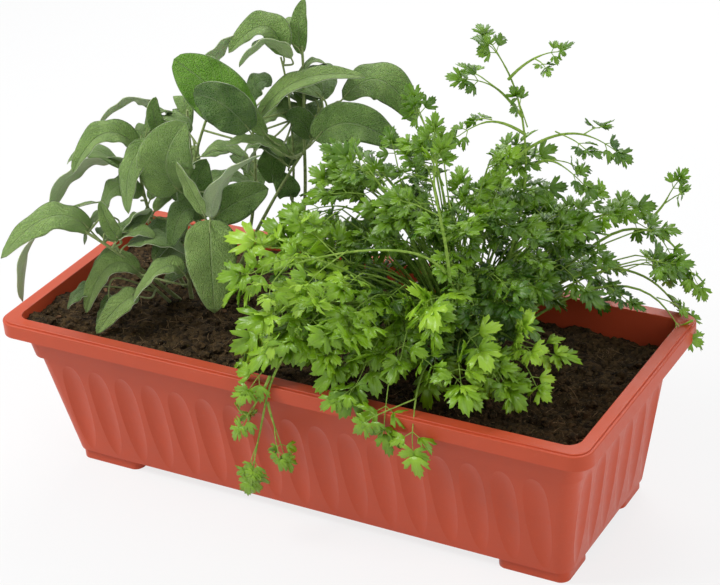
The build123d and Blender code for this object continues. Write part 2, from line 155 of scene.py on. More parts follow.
@contextmanager
def editing(piece: bpy.types.Object) -> Iterator[None]:
    """Holds the piece in edit mode, with all of its mesh selected at first."""
    choose(piece)
    bpy.ops.object.mode_set(mode="EDIT")
    bpy.ops.mesh.select_all(action="SELECT")
    yield
    bpy.ops.object.mode_set(mode="OBJECT")


def new_shape(maker: Callable[..., set], **settings: object) -> bpy.types.Object:
    """Adds one primitive, with nothing else selected.

    Args:
        maker: the operator that adds it.
        settings: the operator's own values.

    Returns:
        The new object.
    """
    bpy.ops.object.select_all(action="DESELECT")
    maker(**settings)
    return bpy.context.view_layer.objects.active


def merge_doubles(piece: bpy.types.Object, distance: float = 1e-5) -> None:
    """Merges the piece's vertices that lie within distance of each other."""
    with editing(piece):
        bpy.ops.mesh.remove_doubles(threshold=distance)


def recalculate(piece: bpy.types.Object) -> None:
    """Turns the piece's faces outwards."""
    with editing(piece):
        bpy.ops.mesh.normals_make_consistent(inside=False)


def finish_piece(piece: bpy.types.Object, slot: str, *nodes: str) -> bpy.types.Object:
    """Lets the piece ride on the planter and stand for CAD nodes.

    Args:
        piece: the finished object.
        slot: the material slot's name, which is only logged.
        nodes: the CAD nodes that it replaces.

    Returns:
        The same object.
    """
    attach(piece, BODY)
    if nodes:
        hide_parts(*nodes)
    LOG.info("%s: %d faces, slot %s", piece.name, len(piece.data.polygons), slot)
    return piece


@dataclass
class Strand:
    """A round stem or fibre along a smooth line."""

    points: list[Vector]
    start_radius: float
    end_radius: float


def tubes(strands: Iterable[Strand], name: str, sides: int, cuts: int) -> bpy.types.Object:
    """Makes one mesh of tapering round strands.

    Args:
        strands: the lines and their radii.
        name: the object's name.
        sides: bevel resolution of the round section.
        cuts: pieces that each span of a line is cut into.

    Returns:
        The mesh object, with closed ends.
    """
    curve = bpy.data.curves.new(name, "CURVE")
    curve.dimensions = "3D"
    curve.bevel_depth = 1.0
    curve.bevel_resolution = sides
    curve.use_fill_caps = True
    curve.resolution_u = cuts
    for strand in strands:
        line = curve.splines.new("NURBS")
        line.points.add(len(strand.points) - 1)
        last = len(strand.points) - 1
        for index, point in enumerate(strand.points):
            line.points[index].co = (*point, 1.0)
            share = index / last
            line.points[index].radius = (strand.start_radius * (1 - share)
                                         + strand.end_radius * share)
        line.order_u = min(4, len(strand.points))
        line.use_endpoint_u = True
    piece = bpy.data.objects.new(name, curve)
    bpy.context.collection.objects.link(piece)
    choose(piece)
    bpy.ops.object.convert(target="MESH")
    piece = bpy.context.view_layer.objects.active
    smooth(piece)
    return piece


# ---------------------------------------------------------------- material helpers
class Wiring:
    """Adds nodes to one shader tree and joins them."""

    def __init__(self, tree: bpy.types.NodeTree) -> None:
        """Keeps the tree."""
        self.tree = tree

    def node(self, kind: str, inputs: dict | None = None, **settings: object) -> bpy.types.Node:
        """Adds one node.

        Args:
            kind: the node's type name, without ShaderNode in front.
            inputs: socket name or number to a value or to another node's output.
            settings: the node's own properties.

        Returns:
            The new node.
        """
        made = self.tree.nodes.new("ShaderNode" + kind)
        for key, value in settings.items():
            setattr(made, key, value)
        self.fill(made, inputs or {})
        return made

    def fill(self, made: bpy.types.Node, inputs: dict) -> None:
        """Sets each input of a node to its value, or joins it to another node's output."""
        for key, value in inputs.items():
            if isinstance(value, bpy.types.NodeSocket):
                self.tree.links.new(value, made.inputs[key])
            else:
                made.inputs[key].default_value = value

    def noise(self, vector: bpy.types.NodeSocket, scale: object, detail: float = 3.0,
              roughness: float = 0.5) -> bpy.types.NodeSocket:
        """A noise value between 0 and 1 at that many features a metre."""
        inputs = {"Vector": vector, "Scale": scale, "Detail": detail, "Roughness": roughness}
        return self.node("TexNoise", inputs).outputs["Fac"]

    def ramp(self, value: bpy.types.NodeSocket, low: float, high: float, start: float = 0.0,
             end: float = 1.0) -> bpy.types.NodeSocket:
        """Maps low..high of a value to start..end, clamped."""
        inputs = {"Value": value, "From Min": low, "From Max": high, "To Min": start, "To Max": end}
        return self.node("MapRange", inputs).outputs["Result"]

    def blend(self, factor: object, first: object, second: object) -> bpy.types.NodeSocket:
        """Mixes two colours."""
        return self.node("Mix", {0: factor, 6: first, 7: second}, data_type="RGBA").outputs[2]

    def sum(self, operation: str, first: object, second: object = 0.0) -> bpy.types.NodeSocket:
        """One arithmetic step on two values."""
        return self.node("Math", {0: first, 1: second}, operation=operation).outputs[0]


def new_group(name: str, inputs: dict[str, object]) -> tuple:
    """Makes a shader node group that gives a colour, a roughness and a height.

    Args:
        name: the group's name.
        inputs: each input's standard value, or None for a place.

    Returns:
        The group, its wiring, its input sockets and its output node.
    """
    group = bpy.data.node_groups.new(name, "ShaderNodeTree")
    for label, value in inputs.items():
        kind = "Vector" if value is None else "Color" if isinstance(value, tuple) else "Float"
        socket = group.interface.new_socket(label, in_out="INPUT", socket_type="NodeSocket" + kind)
        if value is not None:
            socket.default_value = value
    for label, kind in (("Colour", "Color"), ("Roughness", "Float"), ("Height", "Float")):
        group.interface.new_socket(label, in_out="OUTPUT", socket_type="NodeSocket" + kind)
    given = group.nodes.new("NodeGroupInput").outputs
    return group, Wiring(group), given, group.nodes.new("NodeGroupOutput")


def moulded_group() -> bpy.types.NodeTree:
    """Builds the grain, cloudiness and dust that moulded and turned surfaces share."""
    group, wire, given, target = new_group("moulded_surface", {
        "Place": None, "Colour": (0.5, 0.5, 0.5, 1.0), "Cloud": 0.1, "Grain Scale": 1500.0,
        "Roughness": 0.4, "Dust": 0.1,
    })
    here = given["Place"]
    broad = wire.noise(here, 16.0, 4.0)
    middle = wire.noise(here, 130.0, 5.0, 0.6)
    fine = wire.noise(here, given["Grain Scale"], 2.0)
    lift = wire.sum("SUBTRACT", wire.sum("ADD", broad, wire.sum("MULTIPLY", middle, 0.5)), 0.75)
    lift = wire.sum("MULTIPLY", lift, given["Cloud"])
    value = wire.sum("ADD", lift, 1.0)
    shaded = wire.node("HueSaturation", {"Value": value, "Color": given["Colour"]}).outputs[0]
    specks = wire.ramp(wire.noise(here, 420.0, 4.0, 0.7), 0.62, 0.78)
    dusty = wire.sum("MULTIPLY", wire.sum("MULTIPLY", specks, broad), given["Dust"])
    colour = wire.blend(dusty, shaded, tint(196, 170, 150))
    uneven = wire.sum("MULTIPLY", wire.sum("SUBTRACT", middle, 0.5), 0.3)
    rough = wire.sum("ADD", given["Roughness"], wire.sum("ADD", uneven, dusty))
    height = wire.sum("ADD", fine, wire.sum("MULTIPLY", middle, 0.8))
    wire.fill(target, {"Colour": colour, "Roughness": rough, "Height": height})
    return group


def vein_group() -> bpy.types.NodeTree:
    """Builds the midrib, side veins and pebbled skin that leaves share, and mixes the greens by
    tone, which paints each leaf's shade and light, up to a painted lit green.
    """
    group, wire, given, target = new_group("leaf_skin", {
        "Place": None, "Along": 0.0, "Across": 0.0, "Tone": 0.5, "Dark": (0.1, 0.2, 0.05, 1.0),
        "Light": (0.2, 0.4, 0.1, 1.0), "Painted Lit Green": (0.3, 0.5, 0.05, 1.0),
        "Vein": (0.4, 0.5, 0.3, 1.0), "Vein Count": 9.0, "Vein Sweep": 0.3, "Vein Strength": 0.5,
        "Pebble Scale": 600.0, "Pebble Strength": 0.4, "Roughness": 0.5,
    })
    here = given["Place"]
    across = wire.sum("ABSOLUTE", given["Across"])
    swept = wire.sum("MULTIPLY", across, given["Vein Sweep"])
    step = wire.sum("MULTIPLY", wire.sum("SUBTRACT", given["Along"], swept), given["Vein Count"])
    wave = wire.sum("ABSOLUTE", wire.sum("SUBTRACT", wire.sum("FRACT", step), 0.5))
    side_vein = wire.ramp(wave, 0.07, 0.0)
    midrib = wire.ramp(across, 0.05, 0.01)
    rim = wire.ramp(across, 0.955, 0.99)
    lines = wire.sum("MAXIMUM", wire.sum("MULTIPLY", side_vein, 0.45), midrib)
    lines = wire.sum("MAXIMUM", lines, rim)
    cells = wire.node("TexVoronoi", {"Vector": here, "Scale": given["Pebble Scale"]},
                      feature="DISTANCE_TO_EDGE").outputs["Distance"]
    pebble = wire.ramp(cells, 0.0, 0.35)
    nets = wire.sum("MULTIPLY", wire.sum("SUBTRACT", 1.0, pebble), given["Pebble Strength"])
    patches = wire.sum("MULTIPLY", wire.sum("SUBTRACT", wire.noise(here, 60.0, 4.0), 0.5), 0.9)
    tone = wire.ramp(wire.sum("ADD", given["Tone"], patches), 0.0, 1.0)
    # The tone mixes dark and light green: partly leaf-to-leaf difference, partly painted shade and
    # light on the leaf.
    base = wire.blend(tone, given["Dark"], given["Light"])
    # Leaves of the highest tone turn to the painted lit green, which stands for light shining on
    # and through them.
    base = wire.blend(wire.ramp(given["Tone"], 0.9, 1.0), base, given["Painted Lit Green"])
    netted = wire.blend(wire.sum("MULTIPLY", nets, 0.45), base, given["Vein"])
    share = wire.sum("MULTIPLY", lines, given["Vein Strength"])
    colour = wire.blend(share, netted, given["Vein"])
    height = wire.sum("SUBTRACT", wire.sum("MULTIPLY", pebble, given["Pebble Strength"]),
                      wire.sum("MULTIPLY", lines, 0.8))
    rough = wire.sum("ADD", given["Roughness"], wire.sum("MULTIPLY", nets, 0.3))
    wire.fill(target, {"Colour": colour, "Roughness": rough, "Height": height})
    return group


def crumb_group() -> bpy.types.NodeTree:
    """Builds the crumbs, pale specks and hollows that loose and fibrous matter shares."""
    group, wire, given, target = new_group("crumbs", {
        "Place": None, "Dark": (0.02, 0.015, 0.01, 1.0), "Light": (0.06, 0.05, 0.03, 1.0),
        "Speck": (0.3, 0.22, 0.14, 1.0), "Speck Share": 0.5, "Scale": 300.0,
    })
    here = given["Place"]
    scale = given["Scale"]
    cells = wire.node("TexVoronoi", {"Vector": here, "Scale": scale, "Randomness": 1.0})
    rubble = wire.noise(here, scale, 6.0, 0.7)
    tone = wire.node("SeparateColor", {"Color": cells.outputs["Color"]}).outputs[0]
    shade = wire.ramp(wire.sum("ADD", wire.sum("MULTIPLY", tone, 0.6),
                               wire.sum("MULTIPLY", rubble, 0.6)), 0.2, 0.95)
    base = wire.blend(shade, given["Dark"], given["Light"])
    thin = wire.sum("MULTIPLY", scale, 2.3)
    flecks = wire.node(
        "TexNoise", {"Vector": here, "Scale": thin, "Detail": 3.0, "Distortion": 1.2}
    ).outputs["Fac"]
    speck = wire.sum("MULTIPLY", wire.ramp(flecks, 0.64, 0.72), given["Speck Share"])
    colour = wire.blend(speck, base, given["Speck"])
    height = wire.sum("ADD", wire.sum("MULTIPLY", cells.outputs["Distance"], -1.0),
                      wire.sum("MULTIPLY", rubble, 1.4))
    rough = wire.ramp(rubble, 0.3, 0.7, 0.82, 0.98)
    wire.fill(target, {"Colour": colour, "Roughness": rough, "Height": height})
    return group


MOULDED = moulded_group()
LEAF_SKIN = vein_group()
CRUMBS = crumb_group()


def begin_material(name: str, diffuse: Sequence[float]) -> tuple:
    """Starts a material with one Principled shader.

    Args:
        name: the material's name.
        diffuse: its colour in the viewport.

    Returns:
        The material, its wiring and the Principled node.
    """
    material = bpy.data.materials.new(name)
    material.use_nodes = True
    material.diffuse_color = diffuse
    shader = material.node_tree.nodes["Principled BSDF"]
    return material, Wiring(material.node_tree), shader


def fit_group(wire: Wiring, shader: bpy.types.Node, group: bpy.types.NodeTree, values: dict,
              depth: float, strength: float) -> bpy.types.Node:
    """Places a shared group in a material and joins it to the shader.

    Args:
        wire: the material's wiring.
        shader: its Principled node.
        group: the shared group.
        values: the group's input values or the sockets that feed them.
        depth: the bump's distance in metres.
        strength: the bump's strength.

    Returns:
        The group's node.
    """
    node = wire.tree.nodes.new("ShaderNodeGroup")
    node.node_tree = group
    wire.fill(node, values)
    bump = wire.node("Bump", {"Height": node.outputs["Height"], "Distance": depth,
                              "Strength": strength})
    wire.fill(shader, {"Base Color": node.outputs["Colour"],
                       "Roughness": node.outputs["Roughness"],
                       "Normal": bump.outputs["Normal"]})
    return node


@dataclass(frozen=True)
class SolidFinish:
    """A moulded, turned or foamed surface."""

    name: str
    colour: tuple[int, int, int]
    roughness: float = 0.4
    cloud: float = 0.12
    grain: float = 1500.0
    dust: float = 0.15
    depth: float = 0.00012
    strength: float = 0.25
    metallic: float = 0.0
    clear: float = 0.0
    glow: float = 0.0
    specular: float = 0.5

    def material(self) -> bpy.types.Material:
        """The finish as a material."""
        material, wire, shader = begin_material(self.name, tint(*self.colour))
        here = wire.node("TexCoord").outputs["Object"]
        values = {
            "Place": here, "Colour": tint(*self.colour), "Cloud": self.cloud,
            "Grain Scale": self.grain, "Roughness": self.roughness, "Dust": self.dust,
        }
        fit_group(wire, shader, MOULDED, values, self.depth, self.strength)
        wire.fill(shader, {
            "Metallic": self.metallic, "Specular IOR Level": self.specular,
            "Transmission Weight": self.clear, "IOR": 1.49, "Subsurface Weight": self.glow,
            "Subsurface Radius": (1.0, 0.35, 0.2), "Subsurface Scale": 2 * MM,
        })
        return material


@dataclass(frozen=True)
class CrumbFinish:
    """Loose or fibrous matter, such as compost, felt or bark."""

    name: str
    dark: tuple[int, int, int]
    light: tuple[int, int, int]
    speck: tuple[int, int, int]
    speck_share: float = 0.5
    scale: float = 300.0
    depth: float = 0.0012
    strength: float = 0.8
    fuzz: float = 0.0

    def material(self) -> bpy.types.Material:
        """The finish as a material."""
        material, wire, shader = begin_material(self.name, tint(*self.light))
        here = wire.node("TexCoord").outputs["Object"]
        values = {
            "Place": here, "Dark": tint(*self.dark), "Light": tint(*self.light),
            "Speck": tint(*self.speck), "Speck Share": self.speck_share, "Scale": self.scale,
        }
        fit_group(wire, shader, CRUMBS, values, self.depth, self.strength)
        wire.fill(shader, {"Sheen Weight": self.fuzz, "Specular IOR Level": 0.18})
        return material


@dataclass(frozen=True)
class LeafFinish:
    """One side of a leaf: its greens, among them a painted lit green for the brightest leaves, its
    veins and its skin.
    """

    name: str
    dark: tuple[int, int, int]
    light: tuple[int, int, int]
    painted_lit_green: tuple[int, int, int]
    vein: tuple[int, int, int]
    vein_count: float = 9.0
    vein_sweep: float = 0.35
    vein_strength: float = 0.5
    pebble_scale: float = 600.0
    pebble_strength: float = 0.4
    depth: float = 0.0006
    strength: float = 0.6
    fuzz: float = 0.0
    glow: float = 0.2
    specular: float = 0.5
    roughness: float = 0.5

    def material(self) -> bpy.types.Material:
        """The finish as a material."""
        material, wire, shader = begin_material(self.name, tint(*self.light))
        here = wire.node("TexCoord").outputs["Object"]
        tone = wire.node("Attribute", attribute_name="tone").outputs["Fac"]
        chart = wire.node("UVMap", uv_map="UVMap").outputs["UV"]
        parts = wire.node("SeparateXYZ", {"Vector": chart})
        across = wire.sum("MULTIPLY", wire.sum("SUBTRACT", parts.outputs["X"], 0.5), 2.0)
        values = {
            "Place": here, "Along": parts.outputs["Y"], "Across": across, "Tone": tone,
            "Dark": tint(*self.dark), "Light": tint(*self.light),
            "Painted Lit Green": tint(*self.painted_lit_green), "Vein": tint(*self.vein),
            "Vein Count": self.vein_count, "Vein Sweep": self.vein_sweep,
            "Vein Strength": self.vein_strength, "Pebble Scale": self.pebble_scale,
            "Pebble Strength": self.pebble_strength, "Roughness": self.roughness,
        }
        fit_group(wire, shader, LEAF_SKIN, values, self.depth, self.strength)
        wire.fill(shader, {
            "Specular IOR Level": self.specular, "Sheen Weight": self.fuzz,
            "Subsurface Weight": self.glow, "Subsurface Radius": (0.6, 1.0, 0.15),
            "Subsurface Scale": 3 * MM,
        })
        return material


class Finish(Enum):
    """Every finish of the planter, the compost and the plants."""

    TROUGH = SolidFinish("trough_plastic", (192, 76, 44), 0.4, 0.16, 1400.0, 0.3, glow=0.05,
                         specular=0.32)
    INSERT = SolidFinish("insert_plastic", (52, 52, 50), 0.5)
    TUBE = SolidFinish("tube_plastic", (44, 46, 44), 0.42)
    CLEAR = SolidFinish("clear_plastic", (236, 240, 238), 0.06, 0.02, 900.0, 0.02, clear=0.92)
    FOAM = SolidFinish("float_foam", (232, 228, 214), 0.8, 0.1, 700.0, depth=0.0004)
    ROD = SolidFinish("rod_plastic", (225, 225, 220), 0.35)
    FLAG = SolidFinish("flag_plastic", (196, 40, 32), 0.35)
    RUBBER = SolidFinish("seal_rubber", (34, 33, 32), 0.7, strength=0.4)
    STEEL = SolidFinish("pin_steel", (190, 190, 188), 0.28, 0.06, 2200.0, 0.05, metallic=1.0)
    FELT = CrumbFinish("felt", (92, 92, 90), (138, 138, 134), (190, 188, 180), 0.5, 900.0, 0.0006,
                       0.6, 0.4)
    COMPOST = CrumbFinish("compost", (14, 10, 4), (94, 74, 46), (172, 142, 100), 0.8, 260.0,
                          0.003, 1.0)
    FIBRE = CrumbFinish("dry_fibre", (104, 82, 56), (158, 130, 96), (196, 172, 136), 0.4, 900.0,
                        0.0003, 0.5)
    BARK = CrumbFinish("bark_chip", (58, 40, 26), (110, 80, 54), (150, 118, 84), 0.4, 500.0,
                       0.0005, 0.7)
    SAGE_STEM = CrumbFinish("sage_stem", (122, 140, 78), (162, 176, 116), (196, 204, 160), 0.5,
                            420.0, 0.0005, 0.5, 0.3)
    # Each leaf finish's third colour is a painted lit green, for the leaves that catch the most
    # light.
    SAGE_LEAF = LeafFinish("sage_leaf", (50, 94, 0), (142, 174, 86), (98, 152, 0),
                           (176, 196, 140), 10.0, 0.30, 0.36, 520.0, 0.5, 0.0018, 1.0, 0.12, 0.12,
                           0.24, 0.5)
    SAGE_UNDER = LeafFinish("sage_leaf_under", (138, 162, 110), (176, 194, 146), (150, 184, 84),
                            (206, 218, 180), 10.0, 0.30, 0.7, 520.0, 0.5, 0.0011, 0.8, 0.3, 0.12,
                            0.3, 0.6)
    PARSLEY_STEM = CrumbFinish("parsley_stem", (110, 146, 50), (154, 182, 84), (186, 206, 124), 0.4,
                               380.0, 0.0003, 0.4)
    PARSLEY_LEAF = LeafFinish("parsley_leaf", (30, 78, 0), (130, 174, 20), (156, 198, 50),
                              (168, 198, 84), 7.0, 0.1, 0.16, 260.0, 0.12, 0.0004, 0.5, 0.0, 0.1,
                              0.42, 0.3)


MATERIALS: dict[Finish, bpy.types.Material] = {kind: kind.value.material() for kind in Finish}


def dress(piece: bpy.types.Object, *finishes: Finish) -> None:
    """Gives the piece these finishes, in slot order."""
    piece.data.materials.clear()
    for finish in finishes:
        piece.data.materials.append(MATERIALS[finish])


# ---------------------------------------------------------------- CAD nodes that stay
@dataclass
class Hardware:
    """The moulded and metal pieces, which keep their own shapes and get finishes."""

    finishes: dict[Finish, tuple[str, ...]] = field(default_factory=lambda: {
        Finish.TROUGH: ("trough", "drain_plug", "overflow_spout"),
        Finish.INSERT: ("reservoir_platform", "wicking_basket_left", "wicking_basket_right"),
        Finish.FELT: ("capillary_mat", *(f"wick_strip_{number}" for number in range(1, 5))),
        Finish.TUBE: ("filler_tube", "filler_strainer", "filler_cap", "gauge_tube",
                      "gauge_guide"),
        Finish.CLEAR: ("gauge_window",),
        Finish.FOAM: ("gauge_float",),
        Finish.ROD: ("gauge_rod",),
        Finish.FLAG: ("gauge_flag",),
        Finish.RUBBER: ("drain_seal",),
        Finish.STEEL: ("cap_hinge_pin",),
    })

    def build(self) -> None:
        """Puts each finish in the material slots of its nodes."""
        for finish, nodes in self.finishes.items():
            for node in nodes:
                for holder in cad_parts[node].material_slots:
                    holder.link = "OBJECT"
                    holder.material = MATERIALS[finish]
                LOG.info("%s wears %s", node, finish.value.name)


# ---------------------------------------------------------------- compost
@dataclass
class Compost:
    """The compost: a bed under the crust, the rough crust itself, and what lies on it."""

    split_height: float = 126 * MM
    left_height: float = 151 * MM
    right_height: float = 136 * MM
    corner: float = 11.5 * MM
    wall_slope: float = 0.15
    columns: int = 260
    rows: int = 100
    clod_count: int = 900
    fibre_count: int = 420
    chip_count: int = 46
    slope_start: float = -160 * MM
    slope_length: float = 300 * MM
    heap: tuple[float, float, float, float] = (-270 * MM, -100 * MM, 90 * MM, 6 * MM)
    crust_depth: float = 10 * MM
    bore_gap: float = 0.5 * MM
    bore_middle: float = 150 * MM
    wall_gap: float = 6 * MM
    tubes_middle: tuple[float, float] = (-28 * MM, 60 * MM)
    tubes_reach: float = 46 * MM

    def level(self, x: float, y: float) -> float:
        """The compost's height at a place, in metres."""
        share = min(max((x - self.slope_start) / self.slope_length, 0.0), 1.0)
        share = share * share * (3 - 2 * share)
        height = self.left_height * (1 - share) + self.right_height * share
        heap_x, heap_y, heap_reach, heap_rise = self.heap
        height += heap_rise * max(0.0, 1 - math.hypot(x - heap_x, y - heap_y) / heap_reach)
        spot = Vector((x, y, 0.0))
        height += 4.2 * MM * noise.noise(spot * 24)
        height += 4.0 * MM * noise.noise(spot * 70 + Vector((3, 1, 0)))
        height += 3.6 * MM * abs(noise.noise(spot * 150 + Vector((7, 5, 0))))
        height += 1.8 * MM * noise.noise(spot * 380)
        return height

    def __post_init__(self) -> None:
        """Keeps the CAD compost's highest corner, from which the walls are reckoned."""
        self.top_corner = [float(value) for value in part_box("compost")[1]]

    def half_size(self, height: float) -> tuple[float, float]:
        """Half the length and width of the trough's inside, less a gap, at a height."""
        grown = self.wall_slope * (height - self.top_corner[2])
        return self.top_corner[0] + grown, self.top_corner[1] + grown

    def bed(self) -> bpy.types.Object:
        """The compost below the crust, cut from the CAD node's own shape."""
        bed = copy_of(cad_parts["compost"])
        bed.parent = None
        bed.matrix_world = Matrix.Identity(4)
        bed.name = "compost_bed"
        merge_doubles(bed)
        with editing(bed):
            bpy.ops.mesh.bisect(plane_co=(0, 0, self.split_height), plane_no=(0, 0, 1),
                                use_fill=True, clear_outer=True)
        dress(bed, Finish.COMPOST)
        return finish_piece(bed, "compost", "compost")

    def crust(self) -> bpy.types.Object:
        """The rough top layer, a closed block that follows the trough's walls."""
        crust = new_shape(bpy.ops.mesh.primitive_grid_add, x_subdivisions=self.columns,
                          y_subdivisions=self.rows, size=2.0)
        crust.name = "compost_crust"
        half_x, half_y = self.half_size(self.right_height)
        rows = coordinates(crust)
        for row in rows:
            x, y = row[0] * half_x, row[1] * half_y
            in_x = (abs(x) - half_x + self.corner) / self.corner
            in_y = (abs(y) - half_y + self.corner) / self.corner
            if in_x > 0 and in_y > 0:
                round_x = in_x * math.sqrt(1 - in_y * in_y / 2)
                round_y = in_y * math.sqrt(1 - in_x * in_x / 2)
                x = math.copysign(half_x - self.corner + round_x * self.corner, x)
                y = math.copysign(half_y - self.corner + round_y * self.corner, y)
            height = self.level(x, y)
            wide_x, wide_y = self.half_size(height)
            row[:] = (x * wide_x / half_x, y * wide_y / half_y, height)
        move_vertices(crust, rows)
        down = {"value": (0, 0, -self.crust_depth)}
        with editing(crust):
            bpy.ops.mesh.select_all(action="DESELECT")
            bpy.ops.mesh.select_mode(type="EDGE")
            bpy.ops.mesh.select_non_manifold()
            bpy.ops.mesh.extrude_edges_move(TRANSFORM_OT_translate=down)
            bpy.ops.mesh.edge_face_add()
        low_x, low_y = self.half_size(self.split_height)
        rows = coordinates(crust)
        chosen = np.zeros(len(crust.data.vertices), dtype=bool)
        crust.data.vertices.foreach_get("select", chosen)
        for index in np.flatnonzero(chosen):
            wide_x, wide_y = self.half_size(rows[index][2] + self.crust_depth)
            rows[index][0] *= low_x / wide_x
            rows[index][1] *= low_y / wide_y
            rows[index][2] = self.split_height
        move_vertices(crust, rows)
        recalculate(crust)
        for node in ("filler_tube", "gauge_tube"):
            self.bore(crust, node)
        smooth(crust, 70)
        dress(crust, Finish.COMPOST)
        return finish_piece(crust, "compost", "compost")

    def bore(self, crust: bpy.types.Object, node: str) -> None:
        """Cuts the hole that a tube passes through."""
        low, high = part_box(node)
        radius = (high[0] - low[0]) / 2 + self.bore_gap
        centre = ((low[0] + high[0]) / 2, low[1] + radius - self.bore_gap, self.bore_middle)
        cutter = new_shape(bpy.ops.mesh.primitive_cylinder_add, vertices=48, radius=radius,
                           depth=120 * MM, location=centre)
        apply(crust, "BOOLEAN", operation="DIFFERENCE", object=cutter, solver="EXACT")
        bpy.data.objects.remove(cutter)

    def free_spot(self, rng: random.Random) -> tuple[float, float]:
        """A random place on the compost, clear of the two tubes."""
        half_x, half_y = self.half_size(self.right_height)
        while True:
            x = rng.uniform(-half_x + self.wall_gap, half_x - self.wall_gap)
            y = rng.uniform(-half_y + self.wall_gap, half_y - self.wall_gap)
            if math.hypot(x - self.tubes_middle[0], y - self.tubes_middle[1]) > self.tubes_reach:
                return x, y

    def clods(self, rng: random.Random) -> bpy.types.Object:
        """Loose crumbs and lumps that lie on the crust."""
        pattern = new_shape(bpy.ops.mesh.primitive_ico_sphere_add, subdivisions=2, radius=1.0)
        shape = coordinates(pattern)
        pieces = []
        for index in range(self.clod_count):
            x, y = self.free_spot(rng)
            size = rng.choice((1.0, 1.4, 1.8, 2.4, 3.2, 4.4, 6.0)) * MM
            offset = Vector((index * 1.7, 0, 0))
            bumps = np.array([0.8 + 0.55 * noise.noise(Vector(row) * 1.6 + offset)
                              for row in shape])
            stretch = np.array((rng.uniform(0.8, 1.4), rng.uniform(0.8, 1.2),
                                rng.uniform(0.5, 0.8)))
            turned = np.array(Matrix.Rotation(rng.uniform(0, math.tau), 3, "Z"))
            rows = (shape * bumps[:, None] * stretch * size) @ turned.T
            rows += (x, y, self.level(x, y) + 0.25 * size)
            pieces.append(bent_copy(pattern, rows))
        bpy.data.objects.remove(pattern)
        clods = join(pieces, "compost_clods")
        smooth(clods, 50)
        dress(clods, Finish.COMPOST)
        return finish_piece(clods, "compost", "compost")

    def fibres(self, rng: random.Random) -> bpy.types.Object:
        """Pale roots and straw ends that lie among the crumbs."""
        strands = []
        for _ in range(self.fibre_count):
            x, y = self.free_spot(rng)
            heading = rng.uniform(0, math.tau)
            length = rng.uniform(5, 20) * MM
            points = []
            for step in range(4):
                far = length * (step / 3 - 0.5)
                bend = rng.uniform(-2, 2) * MM
                px = x + far * math.cos(heading) - bend * math.sin(heading)
                py = y + far * math.sin(heading) + bend * math.cos(heading)
                points.append(Vector((px, py, self.level(px, py) + rng.uniform(-0.5, 1.6) * MM)))
            radius = rng.uniform(0.18, 0.42) * MM
            strands.append(Strand(points, radius, radius * 0.6))
        fibres = tubes(strands, "compost_fibres", 0, 2)
        dress(fibres, Finish.FIBRE)
        return finish_piece(fibres, "compost", "compost")

    def chips(self, rng: random.Random) -> bpy.types.Object:
        """Flat bark chips, part sunk in the crust."""
        pattern = new_shape(bpy.ops.mesh.primitive_cube_add, size=1.0)
        with editing(pattern):
            bpy.ops.mesh.bevel(offset=0.12, segments=1, affect="EDGES")
        shape = coordinates(pattern)
        pieces = []
        for _ in range(self.chip_count):
            x, y = self.free_spot(rng)
            size = np.array((rng.uniform(5, 12), rng.uniform(2, 4), rng.uniform(0.8, 1.6))) * MM
            wedge = 1 - 0.35 * shape[:, :1]
            spin = Matrix.Rotation(rng.uniform(0, math.tau), 3, "Z")
            spin = spin @ Matrix.Rotation(rng.uniform(-0.4, 0.4), 3, "X")
            rows = (shape * wedge * size) @ np.array(spin).T
            rows += (x, y, self.level(x, y) + 0.6 * MM)
            pieces.append(bent_copy(pattern, rows))
        bpy.data.objects.remove(pattern)
        chips = join(pieces, "compost_chips")
        dress(chips, Finish.BARK)
        return finish_piece(chips, "compost", "compost")

    def build(self) -> None:
        """Builds the bed, the crust and the loose matter."""
        rng = random.Random(SEED)
        self.bed()
        self.crust()
        self.clods(rng)
        self.fibres(rng)
        self.chips(rng)


# ---------------------------------------------------------------- leaves
class Facing(Enum):
    """The way that a leaf's upper side looks."""

    UP = (0.0, 0.0, 1.0)
    VIEW = (0.46, -0.74, 0.48)
    LEFT = (-0.65, -0.35, 0.6)
    FRONT = (0.05, -0.9, 0.4)
    OVER = (0.0, -0.45, 0.88)
    AWAY = (-0.35, 0.6, 0.7)


@dataclass
class Leaf:
    """One leaf blade, along a curve from its base to its tip."""

    base: Vector
    middle: Vector
    tip: Vector
    width: float
    facing: Vector
    # The tone, 0 dark to 1 light, paints the shade and light that the leaf catches, besides its own
    # difference.
    tone: float = 0.5
    fold: float = 0.25
    cup: float = 0.3
    ripple: float = 0.05
    twist: float = 0.0

    def shape(self, flat: np.ndarray, phase: float) -> np.ndarray:
        """Bends a flat blade along the leaf's own line.

        Args:
            flat: rows of across (-0.5 to 0.5) and along (0 to 1).
            phase: where the edge's ripple starts.

        Returns:
            The rows x, y, z of the bent blade.
        """
        along = flat[:, 1:2]
        across = flat[:, 0:1] * self.width
        control = 2 * self.middle - (self.base + self.tip) / 2
        base, bend, tip = (np.array(point) for point in (self.base, control, self.tip))
        centre = (1 - along) ** 2 * base + 2 * along * (1 - along) * bend + along ** 2 * tip
        run = 2 * (1 - along) * (bend - base) + 2 * along * (tip - bend)
        run /= np.linalg.norm(run, axis=1, keepdims=True)
        facing = np.array(self.facing)[None, :]
        side = np.cross(run, facing)
        side /= np.linalg.norm(side, axis=1, keepdims=True)
        lift = np.cross(side, run)
        angle = self.twist * along
        side, lift = (side * np.cos(angle) + lift * np.sin(angle),
                      lift * np.cos(angle) - side * np.sin(angle))
        reach = np.abs(across)
        wave = (np.sin(along * 17 + phase) * (reach / (self.width / 2)) ** 2
                * self.ripple * self.width)
        wave += np.sin(along * 31 + 2 * phase + across / self.width * 4) * reach * self.ripple * 0.5
        rise = reach * math.sin(self.fold) - self.cup * reach ** 2 / self.width + wave
        return centre + side * across * math.cos(self.fold) + lift * rise


